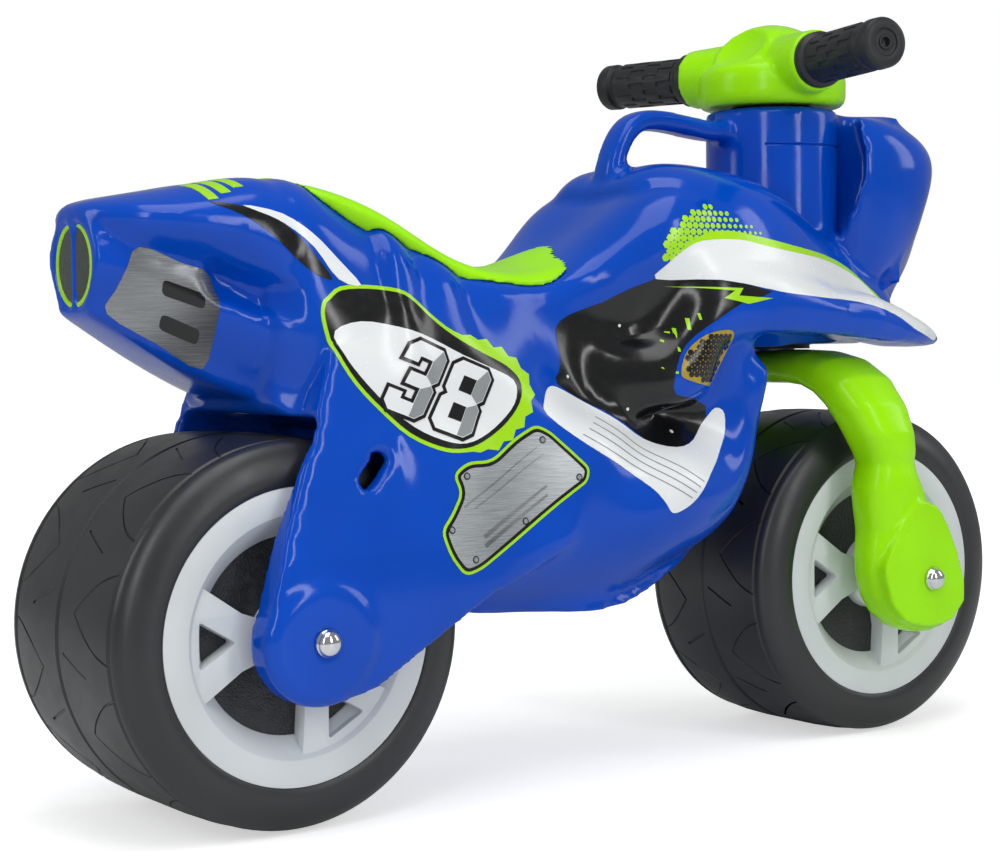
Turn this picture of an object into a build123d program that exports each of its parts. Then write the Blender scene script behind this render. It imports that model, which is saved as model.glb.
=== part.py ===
"""Foot-to-floor ride-on motorbike for a toddler: a blow-moulded body, a steered fork and two wide wheels.

Millimetres. +X points forwards, +Y to the rider's left and +Z up. The origin lies on the ground under the
middle of the whole toy. In the outlines below, x is counted from the rear axle and h from the top of the
tyres, because the body is shaped round the rear wheel and over the fork crown.
"""

import os
from math import cos, radians, sin

from build123d import *

# ---------------------------------------------------------------- driving dimensions
wheelbase = 454.0
nose_overhang = 98.0  # from the front axle to the tip of the fairing
wheel_radius = 108.0
rear_tyre_width = 150.0
front_tyre_width = 120.0
tyre_shoulder = 30.0  # rounding from the tread to the sidewall
tread_groove = 1.4  # depth and half width of the groove round the middle of the tread
side_gap = 4.0  # from a tyre to an arm, and twice this to a fork leg
well_gap = 10.0  # from the tread to the body above it

axle_radius = 5.0
running_gap = 0.08  # radial, for every part that turns on a shaft
turning_gap = 0.2  # endways, between faces that turn past each other
cap_radius = 7.8
cap_height = 6.5

rim_radius = 81.4
rim_inset = 1.6  # the rim's flat ring lies this far inside the tyre's side
rim_flange = 15.0  # width of the flat outer ring
rim_wall = 3.0
rim_depth = 13.5  # from the flat ring down to the black disc
spoke_groups = 3
spoke_root = 9.0  # half width of a forked spoke at the hub
spoke_spread = 28.0  # degrees from a spoke's middle to the outer edge of each leg, at the ring
window_tip = 37.0  # the small window between the legs starts this far from the axle
window_height = 22.0
window_half_width = 13.0
hub_radius = 23.0
bush_wall = 3.0
bush_flange = 2.0

arm_thickness = 23.0
arm_boss = 35.0

steering_offset = 44.0  # steering axis behind the front axle
post_radius = 15.0
head_bush_wall = 4.0
head_bush_flange = 3.0
head_bush_length = 26.0
turret_radius = 44.0
turret_height = 201.0  # top of the turret above the tyres
crown_gap = 19.0  # from the tread to the underside of the fork crown
crown_thickness = 23.0
crown_depth = 54.0
leg_thickness = 37.0

bar_height = 27.0  # grip axis above the turret
bar_setback = 15.0  # grip axis behind the steering axis
bar_sweep = 12.0  # degrees that the bars point backwards
bar_rise = 1.0
bar_radius = 11.0
grip_start = 59.0  # from the centre plane to the inner end of a grip
grip_length = 79.0
grip_wall = 4.5
streamer_hole = 3.0  # radius of the hole in each grip end

bolt_radius = 4.0
bolt_length = 30.0
bolt_head = 5.0
washer_thickness = 2.0
bolt_pocket = 9.0  # depth of the pocket that hides the bolt's head under the crown
post_reach = 34.0  # the post's end above the turret, inside the handlebar
turret_foot = 100.0
turret_seam = 176.0
seam_depth = 1.0
lamp_radius = 24.0
lamp_height = 92.5  # centre of the tail lamp above the tyres
lamp_depth = 3.0
lamp_rib = 5.0
cap_grip = 3.0  # how far the axle reaches into a cap
cap_rim = 1.6

seat_edge_drop = 12.0  # from the middle of the seat pad down to its side edge
stud_radius = 5.0
stud_places = (60, 150)  # behind the seat's middle and below it

# ---------------------------------------------------------------- places that follow from them
rear_axle_x = -wheelbase / 2
front_axle_x = rear_axle_x + wheelbase
axle_z = wheel_radius
tyre_top = 2 * wheel_radius
steer_x = front_axle_x - steering_offset
arm_inner = rear_tyre_width / 2 + side_gap
arm_outer = arm_inner + arm_thickness
leg_inner = front_tyre_width / 2 + 2 * side_gap
leg_outer = leg_inner + leg_thickness
crown_bottom = tyre_top + crown_gap
crown_top = crown_bottom + crown_thickness
head_bottom = crown_top + turning_gap + head_bush_flange
head_top = tyre_top + turret_height
bar_z = head_top + bar_height
bush_radius = axle_radius + running_gap + bush_wall
head_bush_radius = post_radius + running_gap + head_bush_wall

post_top = head_top + post_reach
post_foot = crown_bottom + bolt_pocket
washer_radius = post_radius + 4
well_radius = wheel_radius + well_gap

os.makedirs("parts", exist_ok=True)


def write(piece, name):
    """Labels a finished piece and writes its STEP file."""
    piece.label = name
    export_step(piece, f"parts/{name}.step")


def grip_plane(side, distance):
    """The plane across a grip, that far outwards from its inner end, with its normal along the bar."""
    sweep_angle = radians(bar_sweep)
    direction = Vector(-sin(sweep_angle), side * cos(sweep_angle), sin(radians(bar_rise))).normalized()
    start = Vector(steer_x - bar_setback, side * grip_start, bar_z)
    return Plane(origin=start + direction * distance, x_dir=(0, 0, 1), z_dir=direction)


def loft_across(stations):
    """A smooth form through sections across the body, each (x, half outline of (half width, h))."""
    with BuildPart() as form:
        for x, half_outline in stations:
            with BuildSketch(Plane.YZ.offset(rear_axle_x + x)):
                with BuildLine():
                    Spline(*[(y, tyre_top + h) for y, h in half_outline], tangents=((1, 0), (-1, 0)))
                    mirror(about=Plane.YZ)
                make_face()
        loft()
    return form.part


# ---------------------------------------------------------------- main body
# Each row runs from the top of the centre line, over the shoulder and down the flank to the keel.
hull_stations = [
    (60, [(0, 126), (38, 120), (57, 104), (64, 89), (72, 64), (80, 34), (88, 4), (90, -22),
          (86, -50), (58, -66), (0, -70)]),
    (90, [(0, 109), (39, 105), (57, 93), (64, 80), (73, 55), (80, 26), (89, -5), (92, -33),
          (87, -64), (59, -83), (0, -88)]),
    (118, [(0, 97), (40, 93), (58, 83), (64, 70), (72, 45), (80, 18), (90, -14), (94, -44),
           (88, -78), (60, -100), (0, -106)]),
    (165, [(0, 89), (40, 86), (58, 79), (61, 64), (64, 44), (74, 22), (88, 2), (94, -28),
           (88, -76), (60, -104), (0, -111)]),
    (205, [(0, 98), (40, 95), (56, 87), (56, 68), (55, 44), (60, 14), (88, -8), (95, -30),
           (90, -76), (60, -106), (0, -113)]),
    (240, [(0, 122), (40, 124), (62, 116), (68, 98), (58, 64), (55, 24), (64, -8), (94, -28),
           (90, -76), (56, -102), (0, -110)]),
    (285, [(0, 151), (42, 149), (66, 140), (80, 108), (78, 64), (66, 30), (68, -4), (90, -30),
           (84, -66), (54, -84), (0, -94)]),
    (315, [(0, 152), (42, 149), (64, 142), (80, 108), (82, 60), (82, 20), (82, -18), (80, -36),
           (68, -52), (44, -64), (0, -70)]),
    (338, [(0, 144), (38, 138), (56, 116), (60, 78), (60, 30), (60, -6), (56, -24), (44, -36),
           (24, -42), (0, -44)]),
]
haunch_stations = [
    (-4, [(0, 134), (38, 128), (56, 110), (58, 86), (58, 60), (50, 26), (0, 16)]),
    (16, [(0, 141), (40, 137), (61, 118), (66, 90), (71, 56), (66, 14), (0, 4)]),
    (32, [(0, 137), (40, 132), (59, 114), (67, 86), (74, 54), (72, 10), (0, 2)]),
    (72, [(0, 119), (40, 114), (57, 99), (67, 78), (76, 50), (76, 10), (0, 0)]),
    (118, [(0, 96), (40, 92), (57, 82), (66, 64), (76, 40), (80, 8), (0, 0)]),
]
head_floor = head_bottom - tyre_top
head_stations = [
    (258, [(0, 144), (40, 140), (58, 114), (58, 80), (40, 54), (0, head_floor + 4)]),
    (296, [(0, 160), (42, 158), (62, 148), (80, 112), (84, 68), (60, head_floor + 3), (0, head_floor)]),
    (338, [(0, 157), (42, 154), (62, 144), (80, 110), (84, 68), (60, head_floor + 3), (0, head_floor)]),
    (378, [(0, 147), (40, 143), (58, 130), (74, 98), (80, 66), (60, head_floor + 3), (0, head_floor)]),
    (410, [(0, 134), (40, 126), (56, 108), (68, 82), (72, 62), (56, head_floor + 3), (0, head_floor)]),
    (445, [(0, 116), (36, 108), (52, 90), (60, 74), (58, 60), (46, head_floor + 3), (0, head_floor)]),
    (478, [(0, 98), (28, 92), (40, 80), (44, 68), (34, 56), (0, head_floor + 6)]),
]
tail_stations = [
    (-97, [(0, 123), (9, 122), (13, 117), (9, 111), (0, 110)]),
    (-88, [(0, 127), (24, 125), (36, 118), (26, 108), (0, 105)]),
    (-66, [(0, 131), (38, 128), (54, 116), (42, 101), (0, 97)]),
    (-36, [(0, 136), (44, 132), (60, 113), (48, 95), (0, 89)]),
    (-6, [(0, 140), (46, 135), (64, 104), (54, 79), (0, 70)]),
    (16, [(0, 136), (43, 130), (58, 104), (58, 72), (0, 62)]),
]
barrel_stations = [
    (-95, [(0, 120), (22, 113), (32, 94), (22, 73), (0, 65)]),
    (-60, [(0, 114), (28, 107), (42, 83), (29, 54), (0, 44)]),
    (-20, [(0, 104), (32, 97), (51, 64), (36, 32), (0, 24)]),
    (20, [(0, 97), (34, 88), (56, 55), (44, 18), (0, 10)]),
]

saddle = loft_across(hull_stations) + loft_across(haunch_stations)
stud_floor = tyre_top + 78

# Half outline of the space that the front tyre and the crown sweep: (radius, height).
steered_envelope = [(0, -1), (84, -1), (84, 132), (75, 168), (66, 205), (66, head_bottom), (0, head_bottom)]

# The fairing, by height: (h, setback of the nose from the foremost point, half width).
fairing_levels = [(70, 38, 42), (98, 22, 54), (122, 11, 61), (146, 4, 65), (170, 3, 66), (186, 15, 61), (196, 42, 46)]
fairing_back = 428

with BuildPart() as fairing:
    for h, setback, half_width in fairing_levels:
        nose = wheelbase + nose_overhang - setback
        with BuildSketch(Plane.XY.offset(tyre_top + h)):
            with BuildLine():
                side = [(nose, 0), (nose - 10, 17), (nose - 46, half_width - 10), (nose - 84, half_width),
                        (fairing_back + 3, half_width - 8), (fairing_back, 0)]
                Spline(*[(rear_axle_x + x, y) for x, y in side],
                       *[(rear_axle_x + x, -y) for x, y in reversed(side[1:-1])], periodic=True)
            make_face()
    loft()

# A wing over each fork shoulder: (x, outer edge, h of the top inboard, h of the crest, h of the rim).
wing_stations = [(246, 84, 44, 28, 10), (274, 92, 84, 60, 38), (298, 96, 100, 72, 50), (335, 97, 98, 74, 53),
                 (375, 96, 86, 69, 52), (405, 94, 74, 63, 49), (440, 90, 64, 55, 46), (470, 82, 56, 49, 44),
                 (492, 70, 51, 47, 43.5)]
wing_root = 48.0

with BuildPart() as wing:
    for x, edge, inboard, crest, rim in wing_stations:
        with BuildSketch(Plane.YZ.offset(rear_axle_x + x)):
            with BuildLine():
                top = (wing_root, tyre_top + inboard + 3)
                edge_top = (edge, tyre_top + crest)
                Spline(top, ((wing_root + 2 * edge) / 3, tyre_top + inboard), edge_top)
                Polyline(edge_top, (edge - 3, tyre_top + rim), (wing_root, tyre_top + rim), top)
            make_face()
    loft()

# A swing arm carries the rear axle on each side, widens upwards and leans in under the side panel.
arm_outline = [(-30, 128), (-21, 160), (-12, 181), (-4, 200), (4, 214), (9, 232), (20, 262), (120, 262),
               (160, 214), (170, 150), (140, 134), (112, 126), (72, 103), (33, 80), (12, 75)]
slot_outline = [(28, 190), (42, 208), (50, 202), (35, 184)]
lean = [(36, 262), (76, 262), (81, 238), (85, 216), (90, 190), (98, 152), (arm_outer - 3, 130),
        (arm_outer - 3, 60), (arm_inner, 60), (arm_inner, 196), (36, 196)]

with BuildPart() as arm:
    with BuildSketch(Plane.XZ.offset(lean[0][0])):
        with BuildLine():
            Polyline(*[(rear_axle_x + x, z) for x, z in arm_outline], close=True)
        make_face()
        with Locations((rear_axle_x, axle_z)):
            Circle(arm_boss)
    extrude(amount=arm_outer - lean[0][0])
    with BuildSketch(Plane.YZ.offset(rear_axle_x - 2 * arm_boss)):
        with BuildLine():
            Polyline(*[(-y, z) for y, z in lean], close=True)
        make_face()
    extrude(amount=wheelbase, mode=Mode.INTERSECT)
    with BuildSketch(Plane.XZ.offset(arm_inner)):
        with Locations((rear_axle_x, axle_z)):
            Circle(arm_boss)
    extrude(amount=arm_thickness, taper=12)
    with BuildSketch(Plane.XZ.offset(lean[0][0])):
        with BuildLine():
            Polyline(*[(rear_axle_x + x, z) for x, z in slot_outline], close=True)
        make_face()
    extrude(amount=arm_outer, mode=Mode.SUBTRACT)

# The grab hoop rises from the tank and runs back into the turret.
hoop_points = [(268, 360), (274, 383), (288, 402), (310, 406), (376, 407)]
with BuildPart() as hoop:
    with BuildLine() as hoop_line:
        Spline(*[(rear_axle_x + x, 0, z) for x, z in hoop_points])
    with BuildSketch(Plane(origin=hoop_line.line @ 0, x_dir=(0, 1, 0), z_dir=hoop_line.line % 0)):
        RectangleRounded(22, 13, 6)
    sweep()

with BuildPart() as main_body:
    add(saddle)
    for stations in (head_stations, tail_stations, barrel_stations):
        add(loft_across(stations))
    add(fairing.part)
    # side recesses between the turret and the fairing
    with BuildSketch(Plane.XZ):
        with BuildLine():
            Spline((steer_x + 40, tyre_top + 100), (steer_x + 56, tyre_top + 130), (steer_x + 66, tyre_top + 162),
                   (steer_x + 60, tyre_top + 190), (steer_x + 50, tyre_top + 210))
            Polyline((steer_x + 50, tyre_top + 210), (steer_x, tyre_top + 210), (steer_x, tyre_top + 100),
                     (steer_x + 40, tyre_top + 100))
        make_face()
    revolve(axis=Axis((steer_x, 0, 0), (0, 0, 1)), mode=Mode.SUBTRACT)
    add(hoop.part)
    for side in (1, -1):
        add(wing.part if side > 0 else wing.part.mirror(Plane.XZ))
        add(arm.part if side < 0 else arm.part.mirror(Plane.XZ))
    with BuildSketch(Plane.XY.offset(tyre_top + turret_foot)):
        with Locations((steer_x, 0)):
            Circle(turret_radius)
    extrude(amount=turret_height - turret_foot)
    # seam groove round the turret
    with BuildSketch(Plane.XY.offset(tyre_top + turret_seam)):
        with Locations((steer_x, 0)):
            Circle(turret_radius + seam_depth)
            Circle(turret_radius - seam_depth, mode=Mode.SUBTRACT)
    extrude(amount=2 * seam_depth, mode=Mode.SUBTRACT)
    # round lamp recess at the end of the tail, split by a rib
    with BuildSketch(Plane.YZ.offset(rear_axle_x - 97)):
        with Locations((0, tyre_top + lamp_height)):
            Circle(lamp_radius)
            Rectangle(lamp_rib, 2 * lamp_radius, mode=Mode.SUBTRACT)
    extrude(amount=lamp_depth + 2, mode=Mode.SUBTRACT)
    # rear wheel well
    with BuildSketch(Plane.XZ):
        with Locations((rear_axle_x, axle_z)):
            Circle(well_radius)
            with Locations((0, -well_radius / 2)):
                Rectangle(2 * well_radius, well_radius)
    extrude(amount=arm_inner, both=True, mode=Mode.SUBTRACT)
    # room for the front tyre and the fork crown through the whole steering angle
    with BuildSketch(Plane.XZ):
        with BuildLine():
            Polyline(*[(steer_x + r, z) for r, z in steered_envelope], close=True)
        make_face()
    revolve(axis=Axis((steer_x, 0, 0), (0, 0, 1)), mode=Mode.SUBTRACT)
    # bores for the rear axle, the steering post and its two bushes
    with BuildSketch(Plane.XZ):
        with Locations((rear_axle_x, axle_z)):
            Circle(axle_radius)
    extrude(amount=2 * arm_outer, both=True, mode=Mode.SUBTRACT)
    with BuildSketch(Plane.XY.offset(head_bottom - 1)):
        with Locations((steer_x, 0)):
            Circle(head_bush_radius)
    extrude(amount=head_top - head_bottom + 2, mode=Mode.SUBTRACT)
    # sockets for the studs under the seat
    with BuildSketch(Plane.XY.offset(stud_floor)):
        with Locations(*[(rear_axle_x + x, 0) for x in stud_places]):
            Circle(stud_radius)
    extrude(amount=tyre_top + 60, mode=Mode.SUBTRACT)
write(main_body.part, "main_body")

# ---------------------------------------------------------------- seat pad
# The pad follows the saddle: (x, half width, h of the middle). Its front dives under the tank.
seat_stations = [(16, 30, 142), (28, 46, 141.5), (48, 54, 135.5), (80, 56, 121.5), (118, 57, 102),
                 (160, 57, 94.5), (194, 51, 98.5), (214, 40, 105), (234, 20, 107)]

with BuildPart() as seat_pad:
    for x, half_width, top in seat_stations:
        with BuildSketch(Plane.YZ.offset(rear_axle_x + x)):
            with BuildLine():
                z = tyre_top + top
                Spline((0, z), (0.6 * half_width, z - 3), (half_width, z - seat_edge_drop),
                       (half_width - 4, z - seat_edge_drop - 8), (0, z - seat_edge_drop - 10),
                       tangents=((1, 0), (-1, 0)))
                mirror(about=Plane.YZ)
            make_face()
    loft()
    add(saddle, mode=Mode.SUBTRACT)
    with BuildSketch(Plane.XY.offset(stud_floor)):
        with Locations(*[(rear_axle_x + x, 0) for x in stud_places]):
            Circle(stud_radius)
    extrude(until=Until.NEXT)
write(seat_pad.part, "seat_pad")


# ---------------------------------------------------------------- bushes, axles and caps
def flanged_bush(name, origin, direction, bore, radius, flange_radius, flange, length):
    """A sleeve with a flange whose outer face lies flange beyond the origin, along the direction."""
    with BuildPart() as bush:
        with BuildSketch(Plane(origin=origin, z_dir=direction)):
            Circle(radius)
            Circle(bore, mode=Mode.SUBTRACT)
        extrude(amount=-length)
        with BuildSketch(Plane(origin=origin, z_dir=direction)):
            Circle(flange_radius)
            Circle(bore, mode=Mode.SUBTRACT)
        extrude(amount=flange)
        chamfer(bush.edges().filter_by(GeomType.CIRCLE).sort_by(Axis(origin, direction))[-1], 0.5)
    write(bush.part, name)


def axle_set(name, x, tyre_width, bearing_face, outer_face):
    """The axle rod, with a spacer and a domed cap at each end."""
    with BuildPart() as axle:
        with BuildSketch(Plane(origin=(x, 0, axle_z), z_dir=(0, 1, 0))):
            Circle(axle_radius)
        extrude(amount=outer_face + cap_grip, both=True)
    write(axle.part, f"{name}_axle")
    for side, hand in ((1, "left"), (-1, "right")):
        with BuildPart() as spacer:
            start = tyre_width / 2 - rim_inset + bush_flange + turning_gap
            with BuildSketch(Plane(origin=(x, side * start, axle_z), z_dir=(0, side, 0))):
                Circle(bush_radius + 1)
                Circle(axle_radius, mode=Mode.SUBTRACT)
            extrude(amount=bearing_face - start)
        write(spacer.part, f"{name}_spacer_{hand}")
        with BuildPart() as cap:
            with BuildSketch(Plane(origin=(x, side * outer_face, axle_z), x_dir=(0, side, 0), z_dir=(1, 0, 0))):
                with BuildLine():
                    Line((0, 0), (0, cap_radius))
                    Line((0, cap_radius), (cap_rim, cap_radius))
                    Spline((cap_rim, cap_radius), (cap_height * 0.72, cap_radius * 0.62), (cap_height, 0),
                           tangents=((1, 0), (0, -1)))
                    Line((cap_height, 0), (0, 0))
                make_face()
            revolve(axis=Axis((x, 0, axle_z), (0, 1, 0)))
            add(axle.part, mode=Mode.SUBTRACT)
        write(cap.part, f"{name}_cap_{hand}")


axle_set("rear", rear_axle_x, rear_tyre_width, arm_inner, arm_outer)
axle_set("front", front_axle_x, front_tyre_width, leg_inner, leg_outer)
flanged_bush("head_bush_lower", (steer_x, 0, head_bottom), (0, 0, -1), post_radius + running_gap,
             head_bush_radius, head_bush_radius + 6, head_bush_flange, head_bush_length)
flanged_bush("head_bush_upper", (steer_x, 0, head_top), (0, 0, 1), post_radius + running_gap,
             head_bush_radius, head_bush_radius + 6, head_bush_flange, head_bush_length)


# ---------------------------------------------------------------- wheels
def wheel(name, x, tyre_width):
    """A blow-moulded tyre and core in one, with a rim insert and a flanged bush on each side."""
    spin = Axis((x, 0, axle_z), (0, 1, 0))
    half_tyre = tyre_width / 2
    rim_face = half_tyre - rim_inset
    ring_inner = rim_radius - rim_flange
    disc_face = rim_face - rim_depth
    seat_face = rim_face - rim_wall
    disc_edge = ring_inner - rim_depth  # the rim's cone slopes at 45 degrees
    cone_step = 0.5 * rim_wall
    with BuildPart() as tyre:
        with BuildSketch(Plane(origin=(x, 0, axle_z), x_dir=(0, 1, 0), z_dir=(1, 0, 0))):
            with BuildLine():
                crown = half_tyre - tyre_shoulder
                Polyline((0, bush_radius), (disc_face, bush_radius), (disc_face, disc_edge + rim_wall),
                         (seat_face, ring_inner + cone_step), (seat_face, rim_radius), (rim_face + 0.4, rim_radius))
                Spline((rim_face + 0.4, rim_radius), (half_tyre, rim_radius + 5),
                       (half_tyre - 6, wheel_radius - 11), (crown, wheel_radius - 0.6),
                       tangents=((0.3, 1), (-1, 0.12)))
                Polyline((crown, wheel_radius - 0.6), (2 * tread_groove, wheel_radius),
                         (tread_groove, wheel_radius - tread_groove), (0, wheel_radius - tread_groove))
                mirror(about=Plane.YZ)
            make_face()
        revolve(axis=spin)
    write(tyre.part, f"{name}_tyre")
    for side, hand in ((1, "left"), (-1, "right")):
        with BuildPart() as rim:
            with BuildSketch(Plane(origin=(x, 0, axle_z), x_dir=(0, side, 0), z_dir=(side, 0, 0))):
                with BuildLine():
                    Polyline((seat_face, rim_radius), (rim_face, rim_radius), (rim_face, ring_inner),
                             (disc_face, disc_edge), (disc_face, disc_edge + rim_wall),
                             (seat_face, ring_inner + cone_step), close=True)
                make_face()
            revolve(axis=spin)
            with BuildSketch(Plane(origin=(x, side * disc_face, axle_z), x_dir=(1, 0, 0), z_dir=(0, side, 0))):
                Circle(hub_radius)
                corner = Vector(ring_inner + rim_wall, 0).rotate(Axis.Z, spoke_spread)
                with PolarLocations(0, spoke_groups, start_angle=180):
                    Polygon((hub_radius - 6, -spoke_root), (corner.X, -corner.Y), (ring_inner + rim_wall, 0),
                            (corner.X, corner.Y), (hub_radius - 6, spoke_root), align=None)
                with PolarLocations(0, spoke_groups, start_angle=180):
                    Polygon((window_tip, 0), (window_tip + window_height, -window_half_width),
                            (window_tip + window_height, window_half_width), align=None, mode=Mode.SUBTRACT)
                Circle(bush_radius, mode=Mode.SUBTRACT)
            extrude(amount=rim_depth - 2)
            with BuildSketch(Plane(origin=(x, side * disc_face, axle_z), z_dir=(0, side, 0))):
                Circle(hub_radius - 6)
                Circle(bush_radius, mode=Mode.SUBTRACT)
            extrude(amount=rim_depth)
            add(tyre.part, mode=Mode.SUBTRACT)
        write(rim.part, f"{name}_rim_{hand}")
        flanged_bush(f"{name}_bush_{hand}", (x, side * rim_face, axle_z), (0, side, 0),
                     axle_radius + running_gap, bush_radius, bush_radius + 3, bush_flange, rim_face - 30)


wheel("rear", rear_axle_x, rear_tyre_width)
wheel("front", front_axle_x, front_tyre_width)

# ---------------------------------------------------------------- fork, post and steering bolt
# Outline of a leg: x is counted from the front axle and z from the ground.
leg_outline = [(-56, 214), (-46, 196), (-43, 183), (-49, 168), (-47, 153), (-45, 140), (-48, 126), (-46, 112),
               (-40, 92), (-26, 78), (0, 72), (22, 76), (33, 90), (33, 106), (27, 124), (18, 146), (2, 168),
               (-6, 184), (-5, 202), (-12, 222)]

with BuildPart() as fork:
    with BuildSketch(Plane.XZ.offset(leg_inner)):
        with BuildLine():
            Spline(*[(front_axle_x + x, z) for x, z in leg_outline])
            Line((front_axle_x - 12, 222), (front_axle_x - 56, 214))
        make_face()
    extrude(amount=leg_thickness)
    fillet(fork.faces().sort_by(Axis.Y)[0].edges(), 7)
    mirror(about=Plane.XZ)
    with BuildSketch(Plane.YZ.offset(steer_x - crown_depth / 2 + 2)):
        with BuildLine():
            Spline((0, crown_top), (head_bush_radius + 8, crown_top), (leg_outer - 36, crown_top - 2),
                   (leg_outer - 14, crown_top - 16), (leg_outer - 2, crown_top - 44), tangents=((1, 0), (0, -1)))
            Polyline((leg_outer - 2, crown_top - 44), (leg_outer - 2, crown_top - 66),
                     (leg_inner, crown_top - 66), (leg_inner, crown_top - 62))
            Spline((leg_inner, crown_top - 62), (leg_inner - 4, crown_bottom - 18), (leg_inner - 20, crown_bottom - 5),
                   (0, crown_bottom), tangents=((0, 1), (-1, 0)))
            mirror(about=Plane.YZ)
        make_face()
    extrude(amount=crown_depth)
    with BuildSketch(Plane.XY.offset(crown_bottom - 1)):
        with Locations((steer_x, 0)):
            Circle(post_radius)
    extrude(amount=crown_thickness + 2, mode=Mode.SUBTRACT)
    with BuildSketch(Plane.XY.offset(crown_bottom - 1)):
        with Locations((steer_x, 0)):
            Circle(washer_radius)
    extrude(amount=bolt_pocket + 1, mode=Mode.SUBTRACT)
    with BuildSketch(Plane.XZ):
        with Locations((front_axle_x, axle_z)):
            Circle(axle_radius)
    extrude(amount=2 * leg_outer, both=True, mode=Mode.SUBTRACT)
write(fork.part, "fork")

with BuildPart() as steering_post:
    with BuildSketch(Plane.XY.offset(post_foot)):
        with Locations((steer_x, 0)):
            Circle(post_radius)
    extrude(amount=post_top - post_foot)
    with BuildSketch(Plane.XY.offset(post_foot)):
        with Locations((steer_x, 0)):
            Circle(bolt_radius)
    extrude(amount=bolt_length, mode=Mode.SUBTRACT)
write(steering_post.part, "steering_post")

with BuildPart() as steering_bolt:
    with BuildSketch(Plane.XY.offset(post_foot - washer_thickness - bolt_head)):
        with Locations((steer_x, 0)):
            RegularPolygon(bolt_radius * 1.9, 6)
    extrude(amount=bolt_head)
    with BuildSketch(Plane.XY.offset(post_foot - washer_thickness)):
        with Locations((steer_x, 0)):
            Circle(bolt_radius)
    extrude(amount=washer_thickness + bolt_length)
write(steering_bolt.part, "steering_bolt")

with BuildPart() as steering_washer:
    with BuildSketch(Plane.XY.offset(post_foot - washer_thickness)):
        with Locations((steer_x, 0)):
            Circle(washer_radius)
            Circle(bolt_radius, mode=Mode.SUBTRACT)
    extrude(amount=washer_thickness)
write(steering_washer.part, "steering_washer")

# ---------------------------------------------------------------- handlebar and grips
# Hub of the handlebar: (radius, height above the turret).
hub_profile = [(48, 2), (49.5, 8), (49.5, 20), (46, 31), (38, 42), (25, 51), (12, 56)]
hub_height = 58.0

with BuildPart() as handlebar:
    with BuildSketch(Plane(origin=(steer_x, 0, head_top), x_dir=(1, 0, 0), z_dir=(0, -1, 0))):
        with BuildLine():
            Spline(*hub_profile, (0, hub_height), tangents=((0, 1), (-1, 0)))
            Polyline((0, hub_height), (0, 2), hub_profile[0])
        make_face()
    revolve(axis=Axis((steer_x, 0, 0), (0, 0, 1)))
    for side in (1, -1):
        with BuildSketch(grip_plane(side, -grip_start)):
            Circle(22)
        extrude(amount=grip_start, taper=2)
    with BuildSketch(Plane.XZ):
        with Locations((steer_x - 52, head_top + 66)):
            Circle(34)
    extrude(amount=17, both=True, taper=35, mode=Mode.SUBTRACT)
    for side in (1, -1):
        with BuildSketch(grip_plane(side, -grip_start / 2)):
            Circle(bar_radius)
        extrude(amount=grip_start / 2 + grip_length - grip_wall)
    with BuildSketch(Plane.XY.offset(head_top)):
        with Locations((steer_x, 0)):
            Circle(post_radius)
    extrude(amount=post_top - head_top, mode=Mode.SUBTRACT)
    with BuildSketch(Plane.XY.offset(head_top)):
        with Locations((steer_x, 0)):
            Circle(head_bush_radius + 7)
    extrude(amount=head_bush_flange + turning_gap, mode=Mode.SUBTRACT)
write(handlebar.part, "handlebar")

# Half outline of a grip: (distance along it, radius).
grip_profile = [(0, 18), (7, 18), (9, 16.2), (12, 15.6), (66, 15.2), (68, 14), (70, 14), (72, 15.4), (76, 15.4),
                (79, 13.5)]
for side, hand in ((1, "left"), (-1, "right")):
    with BuildPart() as grip:
        plane = grip_plane(side, 0)
        with BuildSketch(Plane(origin=plane.origin, x_dir=plane.z_dir, z_dir=plane.x_dir)):
            with BuildLine():
                Polyline((0, 0), *grip_profile, (grip_length, 0), close=True)
            make_face()
        revolve(axis=Axis(plane.origin, plane.z_dir))
        with BuildSketch(plane):
            Circle(bar_radius)
        extrude(amount=grip_length - grip_wall, mode=Mode.SUBTRACT)
        with BuildSketch(grip_plane(side, grip_length)):
            Circle(8)
            Circle(streamer_hole + 1.5, mode=Mode.SUBTRACT)
        extrude(amount=-1.5, mode=Mode.SUBTRACT)
        with BuildSketch(grip_plane(side, grip_length)):
            Circle(streamer_hole)
        extrude(amount=-grip_wall, mode=Mode.SUBTRACT)
    write(grip.part, f"grip_{hand}")
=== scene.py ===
"""A toddler's ride-on motorbike: moulded polyethylene body, fork and wheels, stickers and steel axles."""

import math

import bpy
from bpy.props import FloatProperty, FloatVectorProperty, IntProperty, PointerProperty
from mathutils import Matrix, Vector


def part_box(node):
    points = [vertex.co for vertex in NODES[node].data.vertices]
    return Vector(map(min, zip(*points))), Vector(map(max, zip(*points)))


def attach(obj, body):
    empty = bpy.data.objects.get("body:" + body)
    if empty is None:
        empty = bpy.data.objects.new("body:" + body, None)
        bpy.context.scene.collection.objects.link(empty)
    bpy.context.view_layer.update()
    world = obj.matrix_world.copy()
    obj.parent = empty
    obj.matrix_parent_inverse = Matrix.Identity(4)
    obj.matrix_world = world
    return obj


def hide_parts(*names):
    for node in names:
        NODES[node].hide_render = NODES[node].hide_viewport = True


bl_info = {
    "name": "Ride-on Motorbike",
    "version": (1, 0, 0),
    "blender": (4, 5, 0),
    "location": "View3D > Sidebar > Motorbike",
    "description": "Builds the skins, stickers, wheels and stage of a ride-on motorbike round its frame",
    "category": "Add Mesh",
}

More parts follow.
